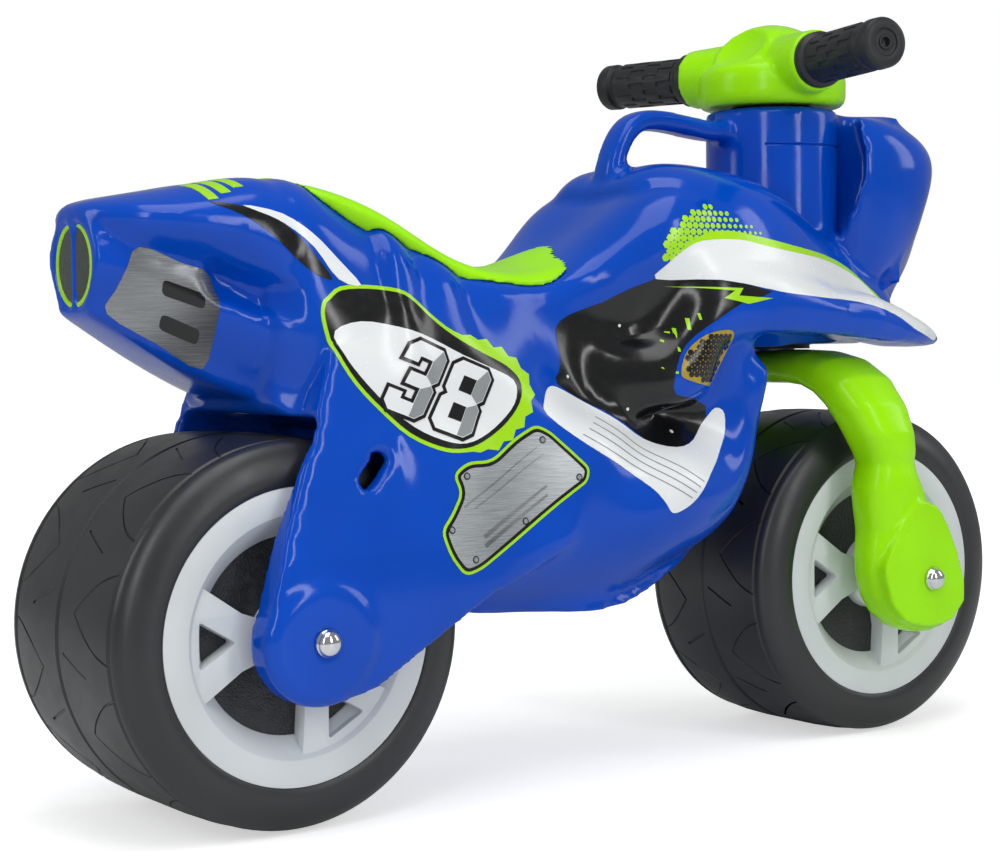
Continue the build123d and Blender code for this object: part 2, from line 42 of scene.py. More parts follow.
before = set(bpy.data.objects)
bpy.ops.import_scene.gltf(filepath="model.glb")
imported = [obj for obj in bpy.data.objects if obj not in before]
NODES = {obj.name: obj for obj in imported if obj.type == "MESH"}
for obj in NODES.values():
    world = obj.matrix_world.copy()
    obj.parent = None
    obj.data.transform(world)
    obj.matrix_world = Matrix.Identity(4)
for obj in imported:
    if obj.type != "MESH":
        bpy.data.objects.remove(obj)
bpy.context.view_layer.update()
MM = 0.001
HANDS = {1: "left", -1: "right"}


def middle(node):
    low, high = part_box(node)
    return (low + high) / 2


REAR = middle("rear_axle")
FRONT = middle("front_axle")
TYRE_RADIUS = (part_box("rear_tyre")[1].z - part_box("rear_tyre")[0].z) / 2
REAR_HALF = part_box("rear_tyre")[1].y
FRONT_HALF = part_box("front_tyre")[1].y
TURRET_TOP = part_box("main_body")[1].z
STEERING = middle("steering_post").x


def at(x, y, z):
    """A place in metres from millimetres: x from the rear axle, y from the middle, z from the ground."""
    return Vector((REAR.x + x * MM, y * MM, z * MM))


# ------------------------------------------------------------------ settings
def linear(code):
    """sRGB hex to the linear colour that the shaders take."""
    parts = [int(code[i:i + 2], 16) / 255 for i in (1, 3, 5)]
    return [p / 12.92 if p <= 0.04045 else ((p + 0.055) / 1.055) ** 2.4 for p in parts]


def colour(name, code, text):
    return FloatVectorProperty(name=name, description=text, subtype="COLOR", size=3, min=0, max=1,
                               default=linear(code))


def length(name, value, text):
    return FloatProperty(name=name, description=text, subtype="DISTANCE", unit="LENGTH", min=0,
                         default=value)


class MotorbikeColours(bpy.types.PropertyGroup):
    body: colour("Body", "#0049BE", "Blue of the moulded body")
    fork: colour("Fork", "#A0F000", "Lime of the fork, handlebar and seat pad")
    tyre: colour("Tyre", "#26282A", "Black of the moulded tyres")
    rim: colour("Rim", "#D9DEE0", "White of the rim inserts")
    print_lime: colour("Printed lime", "#A6E300", "Lime ink on the stickers")
    print_black: colour("Printed black", "#0C0D0F", "Black ink on the stickers")
    print_white: colour("Printed white", "#E9EDEE", "White ink on the stickers")
    print_grey: colour("Printed grey", "#8E9396", "Grey ink on the stickers")


class MotorbikeSizes(bpy.types.PropertyGroup):
    skin: length("Skin grain", 0.0028, "Spacing of the body skin's faces")
    seat_skin: length("Seat grain", 0.0014, "Spacing of the seat skin's faces")
    fork_skin: length("Fork grain", 0.0019, "Spacing of the fork skin's faces")
    sticker: length("Sticker", 0.00028, "How far a sticker's face stands above the skin")
    layer: length("Ink layer", 0.00018, "How far each printed layer stands above the one below")
    tread_line: length("Tread line", 0.0016, "Width of the lines moulded into the tread")
    leaves: IntProperty(name="Leaves", description="Leaves round each half of a tyre", min=4, default=10)
    peel: length("Orange peel", 0.004, "Width of the ripples left by the mould's wall")


def colours():
    return bpy.context.scene.motorbike_colours


def sizes():
    return bpy.context.scene.motorbike_sizes


# ------------------------------------------------------------------ working by hand
def rest():
    """Back to object mode with nothing selected."""
    if bpy.context.object and bpy.context.object.mode != "OBJECT":
        bpy.ops.object.mode_set(mode="OBJECT")
    bpy.ops.object.select_all(action="DESELECT")


def pick(*pieces):
    rest()
    for piece in pieces:
        piece.select_set(True)
    bpy.context.view_layer.objects.active = pieces[0]


def edit(piece, *actions, faces=None, edges=None):
    """Runs edit-mode actions on the faces or edges that pass a test, or on the whole piece."""
    pick(piece)
    bpy.ops.object.mode_set(mode="EDIT")
    bpy.ops.mesh.select_mode(type="EDGE" if edges else "FACE")
    bpy.ops.mesh.select_all(action="DESELECT" if faces or edges else "SELECT")
    if faces or edges:
        bpy.ops.object.mode_set(mode="OBJECT")
        for item in (piece.data.polygons if faces else piece.data.edges):
            item.select = (faces or edges)(item)
        bpy.ops.object.mode_set(mode="EDIT")
    for action in actions:
        action()
    bpy.ops.object.mode_set(mode="OBJECT")


def modify(piece, kind, **settings):
    """Adds a modifier with its settings and applies it."""
    pick(piece)
    modifier = piece.modifiers.new(kind.title(), kind)
    for key, value in settings.items():
        setattr(modifier, key, value)
    bpy.ops.object.modifier_apply(modifier=modifier.name)


def outwards():
    bpy.ops.mesh.select_all(action="SELECT")
    bpy.ops.mesh.normals_make_consistent(inside=False)


def clean():
    bpy.ops.mesh.select_all(action="SELECT")
    bpy.ops.mesh.remove_doubles(threshold=0.00001)
    outwards()


def join(pieces):
    pick(*pieces)
    if len(pieces) > 1:
        bpy.ops.object.join()
    return pieces[0]


def done(piece, name, body, material, angle=40, replaces=()):
    """Names, shades and paints a piece and lets it ride."""
    piece.name = name
    piece.data.name = name
    pick(piece)
    bpy.ops.object.transform_apply(location=True, rotation=True, scale=True)
    if angle:
        bpy.ops.object.shade_smooth_by_angle(angle=math.radians(angle))
    piece.data.materials.clear()
    piece.data.materials.append(material)
    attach(piece, body)
    if replaces:
        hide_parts(*replaces)
    return piece


def plate(points, depth, place):
    """A flat outline pushed out into a solid. place turns (u, v, depth) into a point."""
    rest()
    bpy.ops.mesh.primitive_circle_add(vertices=len(points), fill_type="NGON")
    piece = bpy.context.object
    for vertex, (u, v) in zip(piece.data.vertices, points):
        vertex.co = place(u, v, 0)
    push = place(0, 0, depth) - place(0, 0, 0)
    edit(piece, lambda: bpy.ops.mesh.extrude_region_move(TRANSFORM_OT_translate={"value": push}),
         outwards)
    return piece


def turned(profile, centre, axis, steps=96):
    """A closed outline of (along the axis, radius) spun right round."""
    rest()
    bpy.ops.mesh.primitive_circle_add(vertices=len(profile), fill_type="NOTHING")
    piece = bpy.context.object
    axis = Vector(axis).normalized()
    out = axis.orthogonal().normalized()
    for vertex, (along, radius) in zip(piece.data.vertices, profile):
        vertex.co = Vector(centre) + axis * along + out * radius
    edit(piece, lambda: bpy.ops.mesh.spin(steps=steps, angle=2 * math.pi, center=centre, axis=axis), clean)
    return piece


def cut(piece, tools, operation="DIFFERENCE"):
    """Cuts the tools away from a piece, or joins or meets them with it."""
    tool = join(tools)
    modify(piece, "BOOLEAN", operation=operation, solver="EXACT", object=tool)
    bpy.data.objects.remove(tool)
    return piece


# ------------------------------------------------------------------ outlines
def smooth(points, steps=3):
    """A closed curve through the points."""
    out = []
    count = len(points)
    for i in range(count):
        a, b, c, d = (Vector(points[(i + k - 1) % count]) for k in range(4))
        for s in range(steps):
            t = s / steps
            out.append(tuple(0.5 * (2 * b + (c - a) * t + (2 * a - 5 * b + 4 * c - d) * t * t
                                    + (3 * b - a - 3 * c + d) * t ** 3)))
    return out


def rounded(points, radius, steps=4):
    """The outline with its corners rounded."""
    out = []
    count = len(points)
    for i in range(count):
        a, b, c = (Vector(points[(i + k - 1) % count]) for k in range(3))
        before, after = a - b, c - b
        reach = min(radius, before.length * 0.45, after.length * 0.45)
        start = b + before.normalized() * reach
        end = b + after.normalized() * reach
        for s in range(steps + 1):
            t = s / steps
            out.append(tuple(start * (1 - t) ** 2 + b * 2 * t * (1 - t) + end * t * t))
    return out


def grow(points, distance):
    """The outline moved outwards by a distance, or inwards if it is negative."""
    area = sum(p[0] * q[1] - q[0] * p[1] for p, q in zip(points, points[1:] + points[:1]))
    sign = 1 if area > 0 else -1
    out = []
    count = len(points)
    for i in range(count):
        a, b, c = (Vector(points[(i + k - 1) % count]) for k in range(3))
        one = (b - a).normalized()
        two = (c - b).normalized()
        normal = Vector((one.y + two.y, -one.x - two.x)) * sign
        bend = max(0.5, 1 + one.dot(two))
        out.append(tuple(b + normal * (distance / bend)))
    return out


def dot(u, v, radius, sides=12):
    """A round or many-sided spot."""
    return [(u + radius * math.cos(2 * math.pi * k / sides), v + radius * math.sin(2 * math.pi * k / sides))
            for k in range(sides)]


def bar(start, end, width, taper=1.0):
    """A straight stripe from start to end."""
    start, end = Vector(start), Vector(end)
    across = (end - start).normalized().orthogonal() * width / 2
    return [tuple(start + across), tuple(start - across),
            tuple(end - across * taper), tuple(end + across * taper)]


def turn(points, origin, angle, slant, scale):
    """Points (u along, v up) set down at origin, leaning by slant and turned by an angle in degrees."""
    c, s = math.cos(math.radians(angle)), math.sin(math.radians(angle))
    out = []
    for u, v in points:
        u, v = (u + slant * v) * scale, v * scale
        out.append((origin[0] + u * c - v * s, origin[1] + u * s + v * c))
    return out


# ------------------------------------------------------------------ finishes
def add_node(tree, kind, inputs=None, **settings):
    """Adds a shader node, with its settings, values and links."""
    made = tree.nodes.new(kind)
    for key, value in settings.items():
        setattr(made, key, value)
    for socket, value in (inputs or {}).items():
        if isinstance(value, bpy.types.NodeSocket):
            tree.links.new(value, made.inputs[socket])
        else:
            made.inputs[socket].default_value = value
    return made


def blank(name):
    """A material with its shader and the places on the piece."""
    material = bpy.data.materials.new(name)
    material.use_nodes = True
    tree = material.node_tree
    shader = tree.nodes["Principled BSDF"]
    return material, tree, shader, add_node(tree, "ShaderNodeTexCoord").outputs["Object"]


def vary(tree, socket, pattern, first, second):
    """Lets a pattern move one of a shader's inputs from the first value or colour to the second."""
    coloured = hasattr(first, "__len__")
    low, high = (0, 1) if coloured else (first, second)
    share = add_node(tree, "ShaderNodeMapRange", {"Value": pattern, "From Min": 0.3, "From Max": 0.7,
                                                  "To Min": low, "To Max": high}).outputs["Result"]
    if coloured:
        share = add_node(tree, "ShaderNodeMix", {"Factor": share, 6: (*first, 1), 7: (*second, 1)},
                         data_type="RGBA").outputs[2]
    tree.links.new(share, socket)


def shade(rgb, factor):
    """A colour made darker or lighter."""
    return [min(1.0, c * factor) for c in rgb]


def grained(name, grains):
    """A material with a noisy surface. Each grain is its width, detail, strength and height."""
    material, tree, shader, place = blank(name)
    patterns = []
    raised = {}
    for width, detail, strength, height in grains:
        noise = add_node(tree, "ShaderNodeTexNoise", {"Vector": place, "Scale": 1 / width, "Detail": detail})
        patterns.append(noise.outputs["Fac"])
        if strength:
            bump = add_node(tree, "ShaderNodeBump", {"Height": noise.outputs["Fac"], "Strength": strength,
                                                     "Distance": height, **raised})
            raised = {"Normal": bump.outputs["Normal"]}
    tree.links.new(raised["Normal"], shader.inputs["Normal"])
    return material, tree, shader.inputs, patterns


def moulded(name, rgb, roughness, peel, grit=0.0, gloss=0.3):
    """Blow-moulded polyethylene: glossy, with long ripples and a fine orange peel from the mould's wall."""
    grains = [(0.055, 1.0, 0.30 * peel, 0.0016), (0.018, 4.0, 0, 0),
              (sizes().peel, 2.0, 0.16 * peel, 0.00022)]
    if grit:
        grains.append((0.0009, 1.0, grit, 0.0002))
    material, tree, inputs, patterns = grained(name, grains)
    vary(tree, inputs["Base Color"], patterns[0], shade(rgb, 0.93), shade(rgb, 1.05))
    vary(tree, inputs["Roughness"], patterns[1], roughness - 0.04, roughness + 0.05)
    inputs["IOR"].default_value = 1.53
    inputs["Specular IOR Level"].default_value = gloss
    return material


def textured_disc(name, rgb):
    """Spark-eroded mould texture: a coarse matt grit that catches small glints."""
    material, tree, shader, place = blank(name)
    grit = add_node(tree, "ShaderNodeTexVoronoi", {"Vector": place, "Scale": 1 / 0.0013})
    clump = add_node(tree, "ShaderNodeTexNoise", {"Vector": place, "Scale": 1 / 0.006, "Detail": 3.0})
    bump = add_node(tree, "ShaderNodeBump", {"Height": grit.outputs["Distance"], "Strength": 0.9,
                                             "Distance": 0.0005})
    tree.links.new(bump.outputs["Normal"], shader.inputs["Normal"])
    vary(tree, shader.inputs["Base Color"], clump.outputs["Fac"], shade(rgb, 0.7), shade(rgb, 1.7))
    vary(tree, shader.inputs["Roughness"], clump.outputs["Fac"], 0.42, 0.62)
    return material


def vinyl(name, rgb, roughness=0.2):
    """Printed vinyl under a clear film: even ink, a soft gloss and faint ripples from the wall below it."""
    material, tree, inputs, patterns = grained(name, [(0.05, 1.0, 0.25, 0.0014), (0.005, 2.0, 0.15, 0.0002)])
    vary(tree, inputs["Base Color"], patterns[0], shade(rgb, 0.95), shade(rgb, 1.03))
    vary(tree, inputs["Roughness"], patterns[1], roughness, roughness + 0.08)
    return material


def brushed_vinyl(name, dark, light, band):
    """Ink that imitates brushed sheet metal: fine lines along the piece under broad soft bands."""
    material, tree, shader, place = blank(name)
    lined = add_node(tree, "ShaderNodeMapping", {"Vector": place, "Rotation": (0, math.radians(34), 0),
                                                 "Scale": (60, 1, 1600)})
    lines = add_node(tree, "ShaderNodeTexNoise", {"Vector": lined.outputs["Vector"], "Scale": 1.0,
                                                  "Detail": 2.0})
    broad = add_node(tree, "ShaderNodeTexNoise", {"Vector": place, "Scale": 1 / band, "Detail": 0.0})
    both = add_node(tree, "ShaderNodeMath", operation="ADD", use_clamp=True)
    vary(tree, both.inputs[0], broad.outputs["Fac"], 0.0, 0.8)
    vary(tree, both.inputs[1], lines.outputs["Fac"], -0.12, 0.12)
    ink = add_node(tree, "ShaderNodeMix", {"Factor": both.outputs["Value"], 6: (*dark, 1), 7: (*light, 1)},
                   data_type="RGBA")
    tree.links.new(ink.outputs[2], shader.inputs["Base Color"])
    vary(tree, shader.inputs["Roughness"], lines.outputs["Fac"], 0.22, 0.32)
    shader.inputs["Metallic"].default_value = 0.25
    return material


def metal(name, rgb, roughness, grain):
    """Bare or plated steel with faint drawn marks."""
    material, tree, inputs, patterns = grained(name, [(grain, 3.0, 0.05, 0.0001)])
    vary(tree, inputs["Roughness"], patterns[0], roughness, roughness + 0.08)
    vary(tree, inputs["Base Color"], patterns[0], shade(rgb, 0.92), rgb)
    inputs["Metallic"].default_value = 1.0
    return material


FINISHES = {}


def finish(key):
    """The named finish, made the first time that it is asked for."""
    if key not in FINISHES:
        ink = colours()
        FINISHES[key] = {
            "body": lambda: moulded("blue_blow_moulded_polyethylene", ink.body, 0.13, 0.8, gloss=0.26),
            "lime": lambda: moulded("lime_blow_moulded_polyethylene", ink.fork, 0.24, 0.5, gloss=0.22),
            "pad": lambda: moulded("lime_moulded_seat_polyethylene", ink.fork, 0.34, 0.5, 0.1, 0.22),
            "tyre": lambda: moulded("black_blow_moulded_tyre_polyethylene", ink.tyre, 0.36, 0.6, 0.08, 0.5),
            "disc": lambda: textured_disc("black_spark_eroded_polyethylene", ink.tyre),
            "rim": lambda: moulded("white_injected_polypropylene", ink.rim, 0.34, 0.3, 0.05),
            "grip": lambda: moulded("black_moulded_grip_polyethylene", ink.tyre, 0.42, 0.3, 0.18),
            "nylon": lambda: moulded("black_moulded_nylon", ink.tyre, 0.45, 0.3),
            "chrome": lambda: metal("chromed_pressed_steel", linear("#DADDE0"), 0.05, 0.004),
            "steel": lambda: metal("zinc_plated_steel", linear("#A9ADB1"), 0.3, 0.0015),
            "ink_lime": lambda: vinyl("lime_printed_vinyl", ink.print_lime),
            "ink_black": lambda: vinyl("black_printed_vinyl", ink.print_black, 0.14),
            "ink_white": lambda: vinyl("white_printed_vinyl", ink.print_white),
            "ink_grey": lambda: vinyl("grey_printed_vinyl", ink.print_grey),
            "ink_silver": lambda: brushed_vinyl("silver_brushed_print_vinyl", linear("#83898D"),
                                                linear("#D6DBDE"), 0.09),
            "ink_smoke": lambda: brushed_vinyl("dark_brushed_print_vinyl", linear("#3C3E41"),
                                               linear("#94989B"), 0.05),
            "ink_gold": lambda: vinyl("ochre_printed_vinyl", linear("#A8902C")),
            "lens": lambda: vinyl("smoky_lamp_print_vinyl", linear("#3A423C"), 0.25),
        }[key]()
    return FINISHES[key]


# ------------------------------------------------------------------ moulded skins
def evened(piece, grain, rounds):
    """Gives a piece an even skin, with its edges softened as a blow mould leaves them."""
    edit(piece, clean)
    modify(piece, "REMESH", mode="VOXEL", voxel_size=grain, use_smooth_shade=True)
    modify(piece, "SMOOTH", factor=0.5, iterations=rounds)
    return piece


def skin(node, grain, rounds, extras=()):
    """An even skin over a copy of a CAD node and the forms that run into it."""
    rest()
    piece = bpy.data.objects.new(node, NODES[node].data.copy())
    bpy.context.scene.collection.objects.link(piece)
    return evened(join([piece, *extras]), grain, rounds)


def tube(rings, squareness=2.7, sides=40):
    """A closed form through rings, each given by its middle and its two half axes."""
    pieces = []
    for centre, across, above in rings:
        rest()
        bpy.ops.mesh.primitive_circle_add(vertices=sides, fill_type="NOTHING")
        piece = bpy.context.object
        for k, vertex in enumerate(piece.data.vertices):
            c, s = math.cos(2 * math.pi * k / sides), math.sin(2 * math.pi * k / sides)
            vertex.co = (centre + across * math.copysign(abs(c) ** (2 / squareness), c)
                         + above * math.copysign(abs(s) ** (2 / squareness), s))
        pieces.append(piece)
    piece = join(pieces)
    edit(piece, bpy.ops.mesh.bridge_edge_loops)
    edit(piece, lambda: bpy.ops.mesh.fill_holes(sides=0), outwards)
    return piece


def step(value, low, high):
    """0 up to low and 1 from high on, with a soft passage between."""
    t = max(0.0, min(1.0, (value - low) / (high - low)))
    return t * t * (3 - 2 * t)


def span(value, low, high, edge):
    """1 between low and high, fading to 0 over the edge outside them."""
    return step(value, low - edge, low) * (1 - step(value, high, high + edge))


def millimetres(place):
    """Undoes at(): x from the rear axle, distance from the middle, height."""
    return (place.x - REAR.x) / MM, abs(place.y) / MM, place.z / MM


def soften(piece, weight, rounds):
    """Smooths the skin further where weight(x, y, z) says so."""
    name = weight.__name__
    group = piece.vertex_groups.new(name=name)
    for vertex in piece.data.vertices:
        share = weight(*millimetres(vertex.co))
        if share > 0.01:
            group.add([vertex.index], share, "REPLACE")
    modify(piece, "SMOOTH", factor=0.5, iterations=rounds, vertex_group=name)
    piece.vertex_groups.remove(piece.vertex_groups[name])


def flank(x, y, z):
    """The broad side panel, where the arm, the haunch and the hull run into one another."""
    panel = span(x, 52, 290, 16) * span(z, 140, 272, 14) * step(y, 40, 50)
    behind_slot = step(z + 0.9 * (x - 40), 196, 216) * (1 - span(x, 20, 56, 6) * span(z, 150, 214, 6))
    return panel * behind_slot


def knee(x, y, z):
    """The knee panel's swelling."""
    return span(x, 228, 318, 14) * span(z, 212, 300, 12) * step(y, 40, 54)


def cowl(x, y, z):
    """The fairing's edge beside the web."""
    return span(x, 444, 500, 10) * step(z, 300, 330)


def under_lip(x, y, z):
    """How far the channel under the tail's lip is pressed in, in mm."""
    height = 311 - 0.32 * max(0, x + 60)
    return 9 * span(x, -28, -2, 14) * span(z, height - 7, height + 2, 9) * step(y, 24, 40)


SKINS = {}
SEAM_HEIGHT = 392
SEAM_RADIUS = 44.2
SEAM_HALF_DEPTH = 1.3
SEAM_HALF_WIDTH = 0.7
WEB_FOOT = 300
WEB_HEIGHT = 115
# Half of the web between the turret and the fairing, in plan. Then the swelling under the knee and the
# thick end of a wing as rings: x, distance from the middle, height, half width, half height.
WEB = [(443, 29), (456, 28), (466, 32), (476, 42), (484, 53)]
KNEE_RINGS = [(198, 53, 246, 4, 18), (222, 60, 243, 9, 22), (246, 66, 240, 17, 21), (262, 71, 246, 18, 25),
              (288, 73, 258, 18, 28)]
WING_RINGS = [(380, 78, 283, 16, 13), (420, 74, 278, 20, 16), (448, 68, 273, 20.5, 14),
              (472, 64, 268.5, 17.5, 10), (491, 60, 265.5, 13, 6.5), (503, 58, 263.5, 6, 3.5)]


def swelling(rings, side):
    """A closed form that runs along the toy through upright rings."""
    return tube([(at(x, side * y, z), Vector((0, wide * MM, 0)), Vector((0, 0, high * MM)))
                 for x, y, z, wide, high in rings], 2.2)


def seam(side):
    """One side of the fine groove round the turret, as a bar to cut away."""
    arc = []
    for k in range(21):
        a = math.radians(side * (42 + 96 * k / 20))
        out = Vector((math.cos(a), math.sin(a), 0))
        arc.append((Vector((STEERING, 0, SEAM_HEIGHT * MM)) + out * SEAM_RADIUS * MM,
                    out * SEAM_HALF_DEPTH * MM, Vector((0, 0, SEAM_HALF_WIDTH * MM))))
    return tube(arc, 2.0, 8)


def make_body():
    """The body's skin, with the web and swellings run into it and its side panels softened."""
    outline = WEB + [(x, -y) for x, y in reversed(WEB)]
    web = plate(outline, WEB_HEIGHT, lambda u, v, d: at(u, v, WEB_FOOT + d))
    swellings = [swelling(rings, side) for side in (-1, 1) for rings in (WING_RINGS, KNEE_RINGS)]
    piece = skin("main_body", sizes().skin, 3, [web, *swellings])
    for vertex in piece.data.vertices:
        depth = under_lip(*millimetres(vertex.co)) * MM
        vertex.co.y -= math.copysign(depth, vertex.co.y)
    for weight, rounds in ((flank, 60), (knee, 70), (cowl, 26)):
        soften(piece, weight, rounds)
    modify(piece, "SMOOTH", factor=0.5, iterations=2)
    cut(piece, [seam(side) for side in (-1, 1)])
    SKINS["body"] = done(piece, "moulded_body", "frame", finish("body"), 0, ("main_body",))


def make_seat():
    """The pad's skin, with its tip eased up off the tank."""
    piece = skin("seat_pad", sizes().seat_skin, 8)
    for vertex in piece.data.vertices:
        vertex.co.z += 1.6 * MM * step(millimetres(vertex.co)[0], 176, 214)
    done(piece, "moulded_seat", "frame", finish("pad"), 0, ("seat_pad",))


# The fork as rings from the crown's middle to the foot of a leg: middle (x, y, z), half depth along x,
# half thickness and the lean of the ring in degrees. x is counted from the front axle.
FORK_RINGS = [((-42, 0, 246.5), 27, 11.2, 0), ((-42, 26, 246.5), 27, 11.2, 0), ((-42, 46, 245), 27, 12, -9),
              ((-41, 62, 240), 26.5, 13.8, -26), ((-38.5, 75, 230), 26, 16, -48),
              ((-34.5, 83, 216), 25, 17.2, -68), ((-30, 86, 202), 23, 17.8, -84),
              ((-26, 86, 191), 20.5, 17, -90), ((-25, 86, 184), 18.8, 15.4, -90),
              ((-25, 86, 177), 20.8, 16.6, -90), ((-23.5, 86, 168), 24.6, 17.2, -90),
              ((-19.5, 86, 154), 27.5, 17, -90), ((-14, 86, 140), 31, 17, -90),
              ((-11, 86.2, 126), 36, 17.4, -90), ((-7.5, 86.4, 112), 38.5, 18, -90),
              ((-4, 86.4, 98), 37.5, 18, -90), ((-1, 86.4, 86), 32, 17.4, -90),
              ((2, 86.4, 77), 22, 15, -90), ((2, 86.4, 72.5), 10, 9, -90)]
# The caliper plate that stands proud of a leg's outer face, its distance from the middle and its thickness.
CALIPER = [(-44, 116), (-33, 139), (-13, 160), (5, 156), (14, 144), (24, 124), (30.5, 104), (30.5, 91),
           (20, 79.5), (0, 75.5), (-24, 81), (-37, 94)]
CALIPER_INNER = 95.5
CALIPER_THICKNESS = 9


def make_fork():
    """A blow-moulded arch over the wheel that runs down into two kneed legs with caliper plates."""
    other_leg = reversed(FORK_RINGS[1:])
    rings = [((x, -y, z), depth, thick, -lean) for (x, y, z), depth, thick, lean in other_leg] + FORK_RINGS
    arch = []
    for (x, y, z), depth, thick, lean in rings:
        lean = math.radians(lean)
        arch.append((Vector((FRONT.x + x * MM, y * MM, z * MM)), Vector((depth * MM, 0, 0)),
                     Vector((0, -math.sin(lean), math.cos(lean))) * thick * MM))
    legs = tube(arch)
    plates = [plate(rounded(CALIPER, 5), CALIPER_THICKNESS,
                    lambda u, v, d: Vector((FRONT.x + u * MM, side * (CALIPER_INNER + d) * MM, v * MM)))
              for side in (-1, 1)]
    cut(legs, plates, "UNION")
    piece = evened(legs, sizes().fork_skin, 3)
    done(piece, "moulded_fork", "steering", finish("lime"), 0, ("fork",))


# The handlebar's hub as (height above the turret, radius), and the dish that is scooped out of it.
HUB = [(5, 0.1), (5, 27), (2, 28), (2, 45), (4, 48), (8, 49.3), (19, 49.5), (25, 48.2), (28.5, 45),
       (30, 41), (32.5, 38.5), (38, 37.2), (45, 33), (51, 25.5), (55.5, 15), (57.6, 6), (58, 0.1)]
DISH_PLACE = (-34, 0, 46)
DISH_RADII = (21, 34, 12)
DISH_TILT = -50
# Where the grips start, behind, beside and above the top of the turret, and how they sweep and rise.
BAR_SETBACK = 15
GRIP_START = 59
BAR_HEIGHT = 27
BAR_SWEEP = 12
BAR_RISE = 1


def grip_axis(side):
    """The way that a grip points."""
    sweep, rise = math.radians(BAR_SWEEP), math.radians(BAR_RISE)
    return Vector((-math.sin(sweep), side * math.cos(sweep), math.sin(rise))).normalized()


def grip_start(side):
    """The middle of a grip's inner end."""
    return Vector((STEERING - BAR_SETBACK * MM, side * GRIP_START * MM, TURRET_TOP + BAR_HEIGHT * MM))


def make_handlebar():
    """A hub with a shoulder, a domed cowl with a dish scooped out of the rider's side, and two sleeves."""
    foot = Vector((STEERING, 0, TURRET_TOP))
    hub = turned([(z * MM, r * MM) for z, r in HUB], foot, (0, 0, 1))
    rest()
    bpy.ops.mesh.primitive_uv_sphere_add(segments=48, ring_count=32, radius=1,
                                         rotation=(0, math.radians(DISH_TILT), 0),
                                         location=foot + Vector(DISH_PLACE) * MM,
                                         scale=Vector(DISH_RADII) * MM)
    cut(hub, [bpy.context.object])
    sleeves = []
    for side in (-1, 1):
        along = grip_axis(side)
        inner, outer = (grip_start(side) + along * d * MM for d in (-42, 2))
        reach = (outer - inner).length
        outline = [(0, 0.0001), (0, 0.0222), (reach, 0.0198), (reach, 0.0001)]
        sleeves.append(turned(outline, inner, along, 48))
    piece = evened(join([hub, *sleeves]), sizes().fork_skin, 3)
    done(piece, "moulded_handlebar", "steering", finish("lime"), 0, ("handlebar",))


# ------------------------------------------------------------------ stickers
STICKER_THICKNESS = 0.0007
SHEET_OUT = 135  # mm from the toy's middle, where a side's sheet is made before it is laid on
SHEET_UP = 420  # mm above the ground, where a sheet for the tail's top is made
SHEET_DEPTH = 2
DIE_DEPTH = 8  # of the outlines that trim a sheet, which lies in the middle of them


def flat(axis, side, u, v, d=0):
    """A place on the flat sheet or d mm outside it: beside the body for Y, above it for Z."""
    return at(u, side * (SHEET_OUT + d), v) if axis == "Y" else at(u, v, SHEET_UP + d)


def lay(piece, name, ink, side, layer, axis):
    """Presses a flat sheet onto the body's skin, gives it its thickness and the skin's own shading."""
    inward = side > 0 or axis == "Z"
    modify(piece, "SHRINKWRAP", wrap_method="PROJECT", wrap_mode="ABOVE_SURFACE", target=SKINS["body"],
           offset=sizes().sticker + sizes().layer * layer, cull_face="BACK", use_project_y=axis == "Y",
           use_project_z=axis == "Z", use_negative_direction=inward, use_positive_direction=not inward)
    modify(piece, "SOLIDIFY", thickness=STICKER_THICKNESS, offset=-1)
    modify(piece, "DATA_TRANSFER", object=SKINS["body"], use_loop_data=True,
           data_types_loops={"CUSTOM_NORMAL"}, loop_mapping="POLYINTERP_NEAREST")
    done(piece, f"{name}_{HANDS[side]}", "frame", finish(ink), 0)


def sheet(name, ink, shapes, side, layer, axis="Y", spacing=3.0):
    """Printed shapes on one side of the body: a fine flat sheet trimmed to the outlines, then laid on."""
    points = [p for shape in shapes for p in shape]
    low = [min(p[i] for p in points) - 1 for i in (0, 1)]
    high = [max(p[i] for p in points) + 1 for i in (0, 1)]
    cells = [max(2, int((high[i] - low[i]) / spacing)) for i in (0, 1)]
    rest()
    bpy.ops.mesh.primitive_grid_add(x_subdivisions=cells[0], y_subdivisions=cells[1], size=1)
    piece = bpy.context.object
    for vertex in piece.data.vertices:
        u = low[0] + (vertex.co.x + 0.5) * (high[0] - low[0])
        v = low[1] + (vertex.co.y + 0.5) * (high[1] - low[1])
        vertex.co = flat(axis, side, u, v)
    push = flat(axis, side, 0, 0, SHEET_DEPTH) - flat(axis, side, 0, 0)
    edit(piece, lambda: bpy.ops.mesh.extrude_region_move(TRANSFORM_OT_translate={"value": push}), outwards)
    below = (DIE_DEPTH - SHEET_DEPTH) / 2
    dies = [plate(shape, DIE_DEPTH, lambda u, v, d: flat(axis, side, u, v, d - below)) for shape in shapes]
    cut(piece, dies, "INTERSECT")
    outward = push.normalized()
    edit(piece, lambda: bpy.ops.mesh.delete(type="FACE"), faces=lambda f: f.normal.dot(outward) < 0.9)
    edit(piece, lambda: bpy.ops.mesh.quads_convert_to_tris(quad_method="BEAUTY", ngon_method="BEAUTY"))
    lay(piece, name, ink, side, layer, axis)


def marks(name, ink, shapes, side, layer):
    """Many small printed shapes on one side, each a single flat face before it is laid on."""
    pieces = []
    for shape in shapes:
        rest()
        bpy.ops.mesh.primitive_circle_add(vertices=len(shape), fill_type="NGON")
        piece = bpy.context.object
        for vertex, (u, v) in zip(piece.data.vertices, shape):
            vertex.co = flat("Y", side, u, v)
        pieces.append(piece)
    piece = join(pieces)
    edit(piece, lambda: bpy.ops.mesh.flip_normals(), faces=lambda f: f.normal.y * side < 0)
    lay(piece, name, ink, side, layer, "Y")


